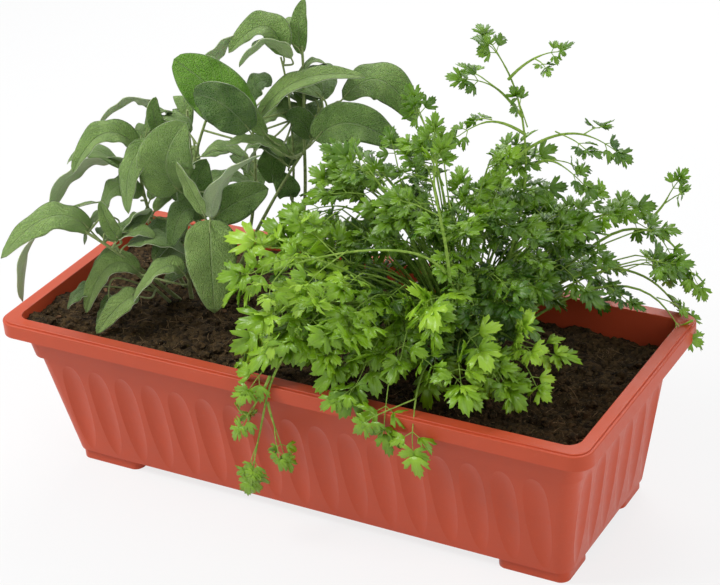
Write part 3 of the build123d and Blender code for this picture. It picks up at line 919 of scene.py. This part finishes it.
def set_tone_and_shade(piece: bpy.types.Object, tone: float) -> None:
    """Stores one tone, 0 dark to 1 light, on every vertex of the piece; the tone paints the shade
    and light that the leaf catches, along with leaf-to-leaf difference.
    """
    layers = piece.data.attributes
    layer = layers.get("tone") or layers.new("tone", "FLOAT", "POINT")
    layer.data.foreach_set("value", [tone] * len(piece.data.vertices))


def blade_pattern(columns: int, rows: int, blunt: float, belly: float) -> bpy.types.Object:
    """A flat oval blade, one unit long and wide, with its base at the origin.

    Args:
        columns: faces across.
        rows: faces along.
        blunt: how round both ends are, smaller being rounder.
        belly: below 1 the widest place lies nearer the base.

    Returns:
        The pattern object, whose map runs along the blade.
    """
    pattern = new_shape(bpy.ops.mesh.primitive_grid_add, x_subdivisions=columns,
                        y_subdivisions=rows, size=1.0)
    values = coordinates(pattern)
    along = np.clip(values[:, 1] + 0.5, 0.0, 1.0)
    half = np.sin(np.pi * along ** belly) ** blunt
    half[(along < 1e-4) | (along > 1 - 1e-4)] = 0.0
    values[:, 0] *= half
    values[:, 1] = along
    move_vertices(pattern, values)
    merge_doubles(pattern, 1e-4)
    return pattern


def grow_leaves(leaves: Sequence[Leaf], pattern: bpy.types.Object, name: str,
                thickness: float) -> bpy.types.Object:
    """Makes one closed object of many leaves.

    Args:
        leaves: the blades to make.
        pattern: the flat blade that each one copies.
        name: the object's name.
        thickness: the blade's thickness in metres.

    Returns:
        The joined object.
    """
    flat = coordinates(pattern)
    pieces = []
    for index, leaf in enumerate(leaves):
        blade = bent_copy(pattern, leaf.shape(flat, index * 1.3))
        set_tone_and_shade(blade, leaf.tone)
        pieces.append(blade)
    whole = join(pieces, name)
    hold_piece(whole)
    apply(whole, "SOLIDIFY", thickness=thickness, offset=-1.0, material_offset=1,
          material_offset_rim=1)
    smooth(whole)
    return whole


# ---------------------------------------------------------------- sage
@dataclass
class Sage:
    """The sage plant: woody stems, petioles and large felted leaves."""

    leaf_thickness: float = 0.7 * MM
    filler_count: int = 46
    filler_low: float = 172 * MM
    filler_high: float = 410 * MM
    back_limit: float = 128 * MM
    stems: list[tuple[float, float, list[Point]]] = field(default_factory=lambda: [
        (1.9, 1.2, [(-96, 60, 130), (-72, 66, 215), (-66, 68, 262), (-68, 75, 315),
                    (-66, 82, 360), (-68, 86, 388)]),
        (1.4, 0.9, [(-106, 58, 130), (-80, 66, 230), (-76, 68, 300), (-77, 72, 350),
                    (-84, 74, 380)]),
        (2.1, 1.1, [(-142, 6, 132), (-108, 28, 215), (-76, 50, 275), (-52, 66, 308)]),
        (1.6, 1.1, [(-70, 74, 312), (-52, 80, 328), (-38, 90, 336)]),
        (2.2, 1.2, [(-162, 0, 132), (-168, -6, 215), (-152, 4, 290), (-128, 16, 345)]),
        (2.2, 1.1, [(-182, 26, 132), (-204, 2, 215), (-202, -10, 270), (-188, -16, 318)]),
        (2.2, 1.3, [(-176, 12, 132), (-172, -32, 180), (-186, -52, 215), (-220, -74, 250)]),
        (1.9, 1.2, [(-178, 2, 132), (-174, -34, 172), (-180, -50, 200)]),
        (2.0, 1.1, [(-168, 34, 132), (-190, 60, 205), (-196, 70, 265), (-190, 66, 315)]),
        (2.0, 1.1, [(-146, 36, 132), (-130, 74, 200), (-128, 86, 260), (-132, 84, 318)]),
    ])
    # Each blade: base, middle, tip, width, facing and tone; the tone paints the light and shade on
    # the leaf.
    blades: list[tuple] = field(default_factory=lambda: [
        ((-218, -66, 246), (-240, -94, 270), (-278, -126, 236), 36, Facing.OVER, 0.75),
        ((-210, -10, 292), (-246, -36, 290), (-272, -54, 250), 30, Facing.AWAY, 0.8),
        ((-226, -40, 262), (-270, -80, 240), (-292, -92, 170), 30, Facing.LEFT, 0.55),
        ((-186, -18, 312), (-208, -40, 334), (-232, -62, 300), 32, Facing.OVER, 0.7),
        ((-182, 12, 335), (-202, 0, 352), (-230, -16, 330), 22, Facing.AWAY, 0.9),
        ((-160, -10, 322), (-168, -14, 345), (-166, -10, 364), 15, Facing.VIEW, 0.5),
        # The bright top leaf gets tone 1.0, the painted lit green of a leaf with light shining
        # through it.
        ((-90, 24, 330), (-120, 14, 368), (-156, 10, 394), 54, Facing.VIEW, 1.0),
        # This dark leaf, tone 0.05, is a painted cast shadow lying over the bright leaf above it.
        ((-84, 12, 334), (-98, -4, 364), (-126, -8, 372), 44, Facing.VIEW, 0.05),
        ((-158, -38, 334), (-172, -54, 312), (-172, -66, 272), 26, Facing.FRONT, 0.6),
        ((-142, -26, 282), (-140, -42, 320), (-120, -32, 356), 54, Facing.VIEW, 0.62),
        ((-106, -42, 272), (-112, -47, 297), (-118, -56, 328), 18, Facing.FRONT, 0.9),
        ((-100, -40, 268), (-92, -28, 298), (-62, -6, 322), 24, Facing.AWAY, 0.9),
        ((-100, -42, 268), (-95, -54, 240), (-95, -60, 182), 48, Facing.VIEW, 0.85),
        ((-124, -20, 256), (-136, -32, 264), (-146, -44, 232), 30, Facing.OVER, 0.3),
        ((-160, -4, 232), (-180, -16, 230), (-200, -28, 220), 30, Facing.OVER, 0.2),
        ((-176, -26, 250), (-186, -42, 254), (-198, -52, 230), 20, Facing.LEFT, 0.6),
        ((-222, -34, 246), (-236, -42, 242), (-244, -48, 218), 22, Facing.LEFT, 0.4),
        ((-194, -14, 262), (-210, -30, 276), (-224, -42, 248), 32, Facing.OVER, 0.5),
        ((-192, -58, 238), (-196, -66, 257), (-202, -66, 280), 16, Facing.VIEW, 0.7),
        ((-182, -50, 202), (-204, -66, 212), (-226, -82, 166), 28, Facing.OVER, 0.75),
        ((-218, -62, 186), (-235, -75, 184), (-248, -82, 166), 22, Facing.OVER, 0.2),
        ((-204, -72, 186), (-206, -77, 170), (-216, -82, 154), 16, Facing.FRONT, 0.35),
        ((-172, -68, 188), (-184, -80, 184), (-206, -96, 156), 26, Facing.OVER, 0.85),
        ((-132, -50, 212), (-148, -61, 218), (-172, -78, 186), 26, Facing.OVER, 0.9),
        ((-204, -34, 196), (-220, -45, 208), (-234, -54, 186), 24, Facing.OVER, 0.5),
        ((-69, 86, 380), (-72, 90, 405), (-64, 92, 432), 17, Facing.VIEW, 0.7),
        ((-146, 44, 362), (-137, 54, 386), (-112, 72, 404), 24, Facing.AWAY, 0.9),
        ((-82, 76, 380), (-96, 70, 410), (-124, 50, 388), 34, Facing.OVER, 0.65),
        ((-70, 70, 382), (-86, 56, 402), (-106, 38, 382), 22, Facing.AWAY, 0.95),
        ((-108, 50, 340), (-102, 60, 358), (-92, 66, 354), 30, Facing.UP, 0.15),
        ((-92, 38, 332), (-58, 62, 366), (-10, 96, 362), 25, Facing.OVER, 0.85),
        ((-46, 58, 310), (-14, 72, 326), (26, 88, 300), 42, Facing.VIEW, 0.45),
        ((-34, 92, 338), (-2, 110, 354), (26, 118, 312), 40, Facing.OVER, 0.6),
        ((-74, 24, 325), (-86, 15, 350), (-86, 10, 364), 18, Facing.VIEW, 0.7),
        ((-58, 70, 304), (-65, 66, 324), (-76, 62, 326), 26, Facing.VIEW, 0.2),
        ((-66, 40, 300), (-71, 30, 314), (-78, 24, 326), 14, Facing.VIEW, 0.85),
        ((-68, 22, 316), (-84, 10, 328), (-100, -4, 324), 20, Facing.UP, 0.6),
        ((-72, 84, 305), (-86, 76, 328), (-108, 66, 312), 36, Facing.UP, 0.6),
        ((-126, -6, 250), (-134, -12, 278), (-122, -6, 308), 38, Facing.VIEW, 0.25),
        ((-120, -10, 250), (-100, 4, 264), (-76, 20, 274), 38, Facing.VIEW, 0.4),
        ((-94, 46, 298), (-90, 50, 282), (-96, 50, 262), 28, Facing.VIEW, 0.45),
        ((-80, 60, 246), (-80, 55, 258), (-92, 54, 274), 24, Facing.VIEW, 0.3),
    ])

    def stem_lines(self) -> list[Strand]:
        """The stems, as lines with a radius at each end."""
        return [Strand([place(point) for point in points], thick * MM, thin * MM)
                for thick, thin, points in self.stems]

    def hand_leaves(self) -> list[Leaf]:
        """The leaves whose places are chosen one by one."""
        leaves = []
        for index, (base, middle, tip, width, facing, tone) in enumerate(self.blades):
            fold = 0.14 + 0.3 * (index % 4) / 3
            leaves.append(Leaf(place(base), place(middle), place(tip), width * MM,
                               Vector(facing.value).normalized(), tone, fold, 0.35, 0.06,
                               0.4 * math.sin(index * 2.1)))
        return leaves

    def filler_leaves(self, rng: random.Random) -> list[Leaf]:
        """Leaves that fill the plant's middle and back, set round the stems."""
        leaves = []
        while len(leaves) < self.filler_count:
            points = rng.choice(self.stems)[2]
            share = rng.uniform(0.4, 1.0) * (len(points) - 1)
            index = min(int(share), len(points) - 2)
            spot = place(points[index]).lerp(place(points[index + 1]), share - index)
            heading = rng.uniform(0.05, math.pi + 0.5)
            outward = Vector((math.cos(heading), math.sin(heading), 0))
            length = rng.uniform(34, 62) * MM
            start = spot + outward * 10 * MM + Vector((0, 0, 6 * MM))
            rise = Vector((0, 0, rng.uniform(0.05, 0.4) * length))
            middle = start + outward * length * 0.5 + rise
            rise = Vector((0, 0, rng.uniform(-0.45, 0.35) * length))
            tip = start + outward * length * 0.9 + rise
            facing = (Vector((0, 0, 1)) + outward * rng.uniform(0.0, 0.5)).normalized()
            if tip.y > self.back_limit or not self.filler_low <= tip.z <= self.filler_high:
                continue
            if any(near_filler(point, 12 * MM) for point in (start, middle, tip)):
                continue
            leaves.append(Leaf(start, middle, tip, length * rng.uniform(0.4, 0.52), facing,
                               rng.uniform(0.15, 0.7), rng.uniform(0.1, 0.35), 0.35, 0.045,
                               rng.uniform(-0.4, 0.4)))
        return leaves

    def petioles(self, leaves: Sequence[Leaf], stems: Sequence[Strand]) -> list[Strand]:
        """The short stalks from the stems to the leaf bases."""
        samples = []
        for stem in stems:
            for first, second in zip(stem.points, stem.points[1:]):
                samples += [first.lerp(second, step / 12) for step in range(13)]
        strands = []
        for leaf in leaves:
            def cost(point: Vector, base: Vector = leaf.base) -> float:
                """How badly a place on a stem suits this leaf."""
                return (point - base).length + 2.0 * max(0.0, point.z - base.z + 8 * MM)

            start = min(samples, key=cost)
            control = 2 * leaf.middle - (leaf.base + leaf.tip) / 2
            run = (control - leaf.base).normalized()
            gap = (leaf.base - start).length
            bend = leaf.base - run * gap * 0.45
            inner = leaf.base + run * 0.25 * (leaf.tip - leaf.base).length
            strands.append(Strand([start, start.lerp(bend, 0.6), bend, leaf.base,
                                   leaf.base.lerp(inner, 0.6)], 1.05 * MM, 0.65 * MM))
        return strands

    def build(self) -> None:
        """Builds the stems and the leaves."""
        rng = random.Random(SEED + 1)
        stems = self.stem_lines()
        hand = self.hand_leaves()
        filler = self.filler_leaves(rng)
        petioles = self.petioles(hand + filler, stems)
        for strands, name, sides, cuts in ((stems, "sage_woody_stems", 4, 8),
                                           (petioles, "sage_petioles", 2, 4)):
            stalks = tubes(strands, name, sides, cuts)
            dress(stalks, Finish.SAGE_STEM)
            finish_piece(stalks, "sage_stem", "sage_stems")
        pattern = blade_pattern(12, 26, 0.56, 0.84)
        dress(pattern, Finish.SAGE_LEAF, Finish.SAGE_UNDER)
        for name, leaves in (("sage_leaves_front", hand), ("sage_leaves_inner", filler)):
            piece = grow_leaves(leaves, pattern, name, self.leaf_thickness)
            finish_piece(piece, "sage_leaf", "sage_foliage")
        bpy.data.objects.remove(pattern)


def near_filler(spot: Vector, margin: float = 0.0) -> bool:
    """Whether a place, give or take a margin, is in the way of the filler cap or the gauge."""
    left, right, front, top = (-62 * MM, 20 * MM, 30 * MM, 222 * MM)
    across = left - margin < spot.x < right + margin
    return across and spot.y > front - margin and spot.z < top + margin


def hold(rows: np.ndarray) -> np.ndarray:
    """Presses foliage softly back inside the planter's own room.

    Args:
        rows: places x, y, z in metres.

    Returns:
        The places, none of them past the room's sides or top.
    """
    room = ((-0.322, 0.322), (-0.1405, 0.1405), (-1.0, 0.447))
    ease = 12 * MM
    for axis, (low, high) in enumerate(room):
        over = rows[:, axis] - (high - ease)
        rows[:, axis] = np.where(over > 0, high - ease * np.exp(-over / ease), rows[:, axis])
        under = (low + ease) - rows[:, axis]
        rows[:, axis] = np.where(under > 0, low + ease * np.exp(-under / ease), rows[:, axis])
    return rows


def hold_piece(piece: bpy.types.Object) -> None:
    """Presses a whole piece back inside the planter's own room."""
    move_vertices(piece, hold(coordinates(piece)))


# ---------------------------------------------------------------- parsley
@dataclass(frozen=True)
class Zone:
    """An egg-shaped part of the parsley that its leaves fill, in millimetres, with a tone that
    paints the light and shade on its leaves.
    """

    centre: Point
    size: Point
    leaves: int
    reach: float
    tone: float


@dataclass
class Parsley:
    """The parsley plant: thin stalks with lobed, toothed leaflets in threes."""

    leaf_thickness: float = 0.4 * MM
    layer_borders: tuple[float, float] = (220 * MM, 290 * MM)
    crown: Point = (112, 26, 134)
    lobes: tuple[tuple[float, float], ...] = (
        (0, 1.0), (6, 0.84), (11, 0.92), (17, 0.72), (22, 0.76), (29, 0.38), (36, 0.74),
        (43, 0.86), (50, 0.66), (58, 0.72), (70, 0.24),
    )
    zones: tuple[Zone, ...] = (
        Zone((112, 0, 240), (74, 50, 60), 70, 24, 0.3),
        Zone((118, 34, 300), (50, 34, 38), 20, 22, 0.35),
        Zone((150, 34, 258), (44, 34, 44), 22, 23, 0.3),
        Zone((208, 84, 236), (58, 34, 38), 26, 22, 0.35),
        Zone((42, -58, 238), (40, 32, 38), 15, 34, 0.8),
        Zone((86, -58, 228), (50, 30, 30), 16, 33, 0.8),
        Zone((138, -60, 204), (42, 22, 22), 7, 29, 0.75),
        Zone((200, -28, 184), (24, 22, 16), 5, 26, 0.85),
        Zone((40, 14, 272), (48, 30, 40), 18, 24, 0.4),
        Zone((8, -4, 218), (34, 18, 24), 12, 25, 0.5),
        Zone((122, 76, 234), (62, 28, 46), 26, 23, 0.4),
    )
    # Each stalk: points, reach and tone; the tone paints the light and shade on its leaves.
    stalks: list[tuple[list[Point], float, float]] = field(default_factory=lambda: [
        ([(118, 30, 134), (160, 52, 250), (172, 62, 335), (162, 56, 395), (154, 50, 416)], 22, 0.4),
        ([(161, 53, 330), (182, 68, 350), (202, 80, 350), (214, 88, 342)], 22, 0.35),
        ([(166, 57, 366), (152, 50, 392), (144, 44, 398)], 20, 0.4),
        ([(124, 36, 134), (186, 78, 218), (240, 112, 212), (262, 122, 190),
          (276, 126, 168)], 22, 0.5),
        ([(126, 36, 134), (206, 96, 244), (250, 116, 252), (270, 122, 240),
          (282, 128, 216)], 22, 0.5),
        ([(250, 116, 252), (262, 122, 262), (268, 126, 276)], 17, 0.5),
        ([(120, 36, 134), (168, 90, 238), (206, 112, 262), (226, 116, 256)], 24, 0.4),
        ([(157, 51, 402), (170, 56, 418), (184, 60, 424)], 15, 0.45),
        ([(167, 58, 350), (148, 48, 368), (134, 42, 362)], 21, 0.35),
        ([(172, 62, 320), (184, 64, 330), (196, 66, 322)], 20, 0.35),
        ([(110, 30, 134), (116, 16, 270), (102, 18, 335), (95, 14, 366)], 22, 0.4),
        ([(106, 26, 134), (88, -10, 275), (76, -20, 315), (64, -26, 330)], 24, 0.4),
        ([(104, 24, 134), (72, -60, 262), (40, -92, 288), (18, -104, 282)], 30, 0.85),
        ([(100, 20, 134), (60, -52, 228), (34, -78, 242), (12, -88, 228)], 32, 0.9),
        ([(102, 18, 134), (62, -56, 214), (30, -100, 222), (4, -126, 176), (-4, -130, 138),
          (-12, -131, 112), (-18, -131, 92)], 23, 0.8),
        ([(4, -126, 176), (-2, -130, 160), (-12, -132, 146)], 22, 0.75),
        ([(0, -128, 150), (4, -131, 136), (8, -132, 124)], 19, 0.7),
        ([(102, 16, 134), (52, -60, 205), (18, -96, 205), (2, -116, 186)], 28, 0.85),
        ([(116, 16, 134), (144, -30, 230), (150, -66, 286), (120, -84, 304), (60, -98, 294),
          (10, -106, 272)], 32, 0.85),
        ([(148, -56, 264), (150, -58, 306), (128, -40, 332), (130, -38, 347)], 22, 0.5),
        ([(108, 12, 134), (104, -60, 208), (108, -92, 200), (112, -108, 184)], 30, 0.75),
        ([(116, 10, 134), (126, -56, 206), (134, -96, 190), (140, -116, 170)], 30, 0.8),
        ([(128, 34, 134), (210, 84, 222), (258, 92, 210), (278, 96, 182)], 23, 0.6),
        ([(106, 30, 134), (60, 20, 250), (34, 0, 286), (16, -12, 288)], 26, 0.5),
        ([(108, 34, 134), (70, 40, 260), (48, 36, 300), (30, 26, 314)], 24, 0.4),
    ])

    def leaflet_pattern(self) -> bpy.types.Object:
        """A flat lobed leaflet, one unit long, with its base at the origin."""
        outline = [(-angle, radius) for angle, radius in reversed(self.lobes)]
        outline += self.lobes[1:]
        pattern = new_shape(bpy.ops.mesh.primitive_grid_add, x_subdivisions=len(outline) - 1,
                            y_subdivisions=2, size=1.0)
        values = coordinates(pattern)
        for row in values:
            angle, radius = outline[round((row[0] + 0.5) * (len(outline) - 1))]
            ring = round((row[1] + 0.5) * 2)
            reach = (0.0, min(0.36, radius * 0.8), radius)[ring]
            turn = math.radians(angle)
            row[:] = (reach * math.sin(turn), reach * math.cos(turn), 0.0)
        move_vertices(pattern, values)
        merge_doubles(pattern, 1e-4)
        recalculate(pattern)
        return pattern

    def leaflet_leaves(self, base: Vector, axis: Vector, normal: Vector, reach: float,
                       pairs: int, tone: float, rng: random.Random) -> tuple[list, list[Strand]]:
        """Lays out one compound leaf.

        Args:
            base: where the leaf's own stalk starts.
            axis: the way that it grows.
            normal: the way that its upper side looks.
            reach: the length of its middle stalk in metres.
            pairs: pairs of side branches.
            tone: 0 dark to 1 light, from painted shade to painted light.
            rng: the source of small differences.

        Returns:
            The leaflets, as tuples of base, axis, normal, size and tone, and the thin stalks.
        """
        axis = axis.normalized()
        normal = (normal - axis * normal.dot(axis)).normalized()
        droop = Vector((0, 0, -0.15 * reach))
        stations = [(1.0, 0.0, 1.0, True)]
        for pair in range(pairs):
            far, share = 0.62 - 0.34 * pair, 0.82 - 0.08 * pair
            stations += [(far, 54.0, share, pair > 0), (far, -54.0, share, pair > 0)]
        leaflets, strands = [], [Strand([base, base + axis * reach * 0.5 - droop * 0.1,
                                         base + axis * reach + droop], 0.6 * MM, 0.4 * MM)]
        for far, turn, share, triple in stations:
            start = base + axis * reach * far + droop * far * far
            spread = math.radians(turn + rng.uniform(-12, 12))
            heading = (Matrix.Rotation(spread, 3, normal) @ axis).normalized()
            heading = (heading + Vector((0, 0, rng.uniform(-0.4, 0.3)))).normalized()
            stalk = reach * 0.34 * share
            end = start + heading * stalk
            strands.append(Strand([start, start + heading * stalk * 0.5, end],
                                  0.45 * MM, 0.35 * MM))
            size = reach * 0.72 * share
            turns = ((0, 1.0, 1.0), (62, 0.5, 0.74), (-62, 0.5, 0.74))
            for side_turn, offset, scale in turns if triple else turns[:1]:
                bend = math.radians(side_turn + rng.uniform(-10, 10))
                way = (Matrix.Rotation(bend, 3, normal) @ heading).normalized()
                tilt = Matrix.Rotation(rng.uniform(-0.9, 0.9), 3, way) @ normal
                spot = start.lerp(end, offset)
                if not near_filler(spot + way * size * scale * 0.5):
                    leaflets.append((spot, way, tilt, size * scale,
                                     min(max(tone + rng.uniform(-0.18, 0.18), 0.0), 1.0)))
        return leaflets, strands

    def plan(self, rng: random.Random) -> tuple[list, list[Strand]]:
        """Lays out the whole plant: chosen stalks first, then the zones that they leave open."""
        leaflets, strands = [], []

        def add(base: Vector, axis: Vector, normal: Vector, reach: float, pairs: int,
                tone: float) -> bool:
            """Adds one compound leaf to the plan, unless it is in the way of the cap."""
            if near_filler(base, 10 * MM):
                return False
            blades, thin = self.leaflet_leaves(base, axis, normal, reach, pairs, tone, rng)
            leaflets.extend(blades)
            strands.extend(thin)
            return True

        for points, reach, tone in self.stalks:
            line = [place(point) for point in points]
            strands.append(Strand(line, 1.5 * MM, 0.75 * MM))
            reach *= MM
            add(line[-1], line[-1] - line[-2], Vector((0.25, -0.45, 0.85)), reach, 1, tone)
            for index in range(max(1, len(line) - 3), len(line) - 1):
                run = (line[index + 1] - line[index]).normalized()
                side = rng.choice((-1, 1))
                outward = run.cross(Vector((0, 0, 1))) * side + run * 0.6
                outward += Vector((0, 0, rng.uniform(-0.2, 0.3)))
                spot = line[index].lerp(line[index + 1], rng.uniform(0.3, 0.8))
                stalk = outward.normalized() * reach * rng.uniform(0.5, 1.1)
                if add(spot + stalk, outward, Vector((0.2, -0.4, 0.85)), reach * 0.85, 1, tone):
                    strands.append(Strand([spot, spot + stalk * 0.5, spot + stalk],
                                          0.7 * MM, 0.5 * MM))

        for zone in self.zones:
            for _ in range(zone.leaves):
                heading, height = rng.uniform(0, math.tau), rng.uniform(-1.0, 1.0)
                flat, depth = math.sqrt(1 - height * height), rng.uniform(0.35, 1.0) ** 0.5
                way = Vector((math.cos(heading) * flat, math.sin(heading) * flat, height))
                spot = Vector((zone.centre[axis] + way[axis] * zone.size[axis] * depth) * MM
                              for axis in range(3))
                start = place(self.crown) + Vector((way.x, way.y, 0)) * 13 * MM
                outward = spot - start
                outward.z = 0
                outward.normalize()
                bend = start.lerp(spot, 0.55) + Vector((0, 0, 30 * MM)) - outward * (12 * MM)
                axis = outward + way * 0.7 + Vector((0, 0, rng.uniform(-0.5, 0.35)))
                normal = outward * 0.35 + Vector((0.1, -0.25, 0.9))
                # Leaves high in a zone get a lighter tone: painted light on the top of the plant.
                tone = zone.tone + 0.18 * height + rng.uniform(-0.15, 0.15)
                reach = zone.reach * rng.uniform(0.8, 1.2) * MM
                if add(spot, axis, normal, reach, rng.choice((1, 2)), tone):
                    strands.append(Strand([start, bend, spot], 1.1 * MM, 0.6 * MM))
        return leaflets, strands

    def build(self) -> None:
        """Builds the stalks and the leaflets."""
        rng = random.Random(SEED + 2)
        leaflets, strands = self.plan(rng)
        stalks = tubes(strands, "parsley_stalks", 1, 4)
        hold_piece(stalks)
        dress(stalks, Finish.PARSLEY_STEM)
        finish_piece(stalks, "parsley_stem", "parsley_stems")
        pattern = self.leaflet_pattern()
        dress(pattern, Finish.PARSLEY_LEAF)
        flat = coordinates(pattern)
        batches: list[list[bpy.types.Object]] = [[], [], []]
        for base, axis, normal, size, tone in leaflets:
            normal = (normal - axis * normal.dot(axis)).normalized()
            side = axis.cross(normal).normalized()
            x, y = flat[:, 0:1], flat[:, 1:2]
            rise = -(0.05 + 0.25 * tone) * y * y + 0.24 * np.abs(x) - 0.2 * x * x
            rise = rise + 0.04 * np.sin(x * 19 + y * 7 + tone * 40)
            rows = np.array(base) + (x * np.array(side) + y * np.array(axis)
                                     + rise * np.array(normal)) * size * 1.05
            blade = bent_copy(pattern, rows)
            set_tone_and_shade(blade, tone)
            layer = sum(base.z >= border for border in self.layer_borders)
            batches[layer].append(blade)
        bpy.data.objects.remove(pattern)
        for level, blades in zip(("lower", "middle", "upper"), batches):
            piece = join(blades, f"parsley_leaves_{level}")
            hold_piece(piece)
            apply(piece, "SOLIDIFY", thickness=self.leaf_thickness, offset=0.0)
            smooth(piece)
            finish_piece(piece, "parsley_leaf", "parsley_foliage")


# ---------------------------------------------------------------- studio
@dataclass
class Studio:
    """The floor, the lamps, the world and the camera."""

    camera_place: Point = (905.3, -1405.5, 1111.1)
    azimuth: float = 32.09
    elevation: float = 28.86
    roll: float = -5.17
    lens: float = 105.7
    aim: Point = (0, 0, 150)
    surround: float = 0.44
    floor_size: float = 60.0
    floor_white: float = 0.78
    lamps: tuple[tuple[str, Point, float, float], ...] = (
        ("key_lamp", (-1300, -900, 1700), 0.9, 32),
        ("back_lamp", (-300, 1400, 1500), 1.2, 18),
        ("side_lamp", (1700, -300, 900), 1.2, 10),
    )

    def light(self, name: str, spot: Point, size: float, power: float) -> None:
        """Adds one square area lamp that looks at the planter.

        Args:
            name: the lamp's name.
            spot: its place in millimetres.
            size: its side in metres.
            power: its power in watts.
        """
        lamp = bpy.data.lights.new(name, "AREA")
        lamp.shape = "SQUARE"
        lamp.size = size
        lamp.energy = power
        holder = bpy.data.objects.new(name, lamp)
        bpy.context.collection.objects.link(holder)
        holder.location = place(spot)
        aim = place(self.aim) - holder.location
        holder.rotation_euler = aim.to_track_quat("-Z", "Y").to_euler()

    def white_to_camera(self, wire: Wiring) -> bpy.types.NodeSocket:
        """1 for the rays of the camera, mirrors and glass, else 0."""
        path = wire.node("LightPath")
        seen = wire.sum("MAXIMUM", path.outputs["Is Camera Ray"], path.outputs["Is Glossy Ray"])
        return wire.sum("MAXIMUM", seen, path.outputs["Is Transmission Ray"])

    def world(self) -> None:
        """A white surround that lights the object softly."""
        world = bpy.data.worlds.new("surround")
        bpy.context.scene.world = world
        world.use_nodes = True
        tree = world.node_tree
        tree.nodes.clear()
        wire = Wiring(tree)
        soft = wire.node("Background", {"Color": (0.95, 0.97, 1.0, 1.0), "Strength": self.surround})
        white = wire.node("Background", {"Color": (1, 1, 1, 1), "Strength": 1.0})
        mix = wire.node("MixShader", {0: self.white_to_camera(wire), 1: soft.outputs[0],
                                      2: white.outputs[0]})
        output = wire.node("OutputWorld")
        tree.links.new(mix.outputs[0], output.inputs["Surface"])

    def floor(self) -> None:
        """A wide pale floor that keeps the object's soft shadow."""
        floor = new_shape(bpy.ops.mesh.primitive_plane_add, size=self.floor_size,
                          location=(0, 0, -0.4 * MM))
        floor.name = "floor"
        material = bpy.data.materials.new("floor_paper")
        material.use_nodes = True
        tree = material.node_tree
        tree.nodes.clear()
        wire = Wiring(tree)
        paper = wire.node("BsdfDiffuse", {"Color": (0.82, 0.82, 0.82, 1.0)})
        white = wire.node("Emission", {"Color": (1, 1, 1, 1), "Strength": 1.0})
        share = wire.sum("MULTIPLY", self.white_to_camera(wire), self.floor_white)
        mix = wire.node("MixShader", {0: share, 1: paper.outputs[0], 2: white.outputs[0]})
        output = wire.node("OutputMaterial")
        tree.links.new(mix.outputs[0], output.inputs["Surface"])
        floor.data.materials.append(material)

    def camera(self) -> None:
        """The camera, at its place and turn."""
        side, rise, roll = (math.radians(value) for value in
                            (self.azimuth, self.elevation, self.roll))
        back = Vector((math.sin(side) * math.cos(rise), -math.cos(side) * math.cos(rise),
                       math.sin(rise)))
        right = (-back).cross(Vector((0, 0, 1))).normalized()
        over = right.cross(-back)
        across = math.cos(roll) * right + math.sin(roll) * over
        up = -math.sin(roll) * right + math.cos(roll) * over
        lens = bpy.data.cameras.new("view")
        lens.lens = self.lens
        lens.sensor_width = 36.0
        lens.clip_end = 50.0
        camera = bpy.data.objects.new("view", lens)
        bpy.context.collection.objects.link(camera)
        turn = Matrix((across, up, back)).transposed().to_4x4()
        camera.matrix_world = Matrix.Translation(place(self.camera_place)) @ turn
        bpy.context.scene.camera = camera

    def build(self) -> None:
        """Builds the studio."""
        bpy.context.scene.view_settings.view_transform = "Standard"
        self.world()
        self.floor()
        for lamp in self.lamps:
            self.light(*lamp)
        self.camera()


def main() -> None:
    """Builds the planter's finishes, its compost, its plants and the studio."""
    logging.basicConfig(level=logging.INFO, format="%(name)s: %(message)s")
    for part in (Hardware(), Compost(), Sage(), Parsley(), Studio()):
        LOG.info("building %s", type(part).__name__)
        part.build()


if __name__ == "__main__":
    main()
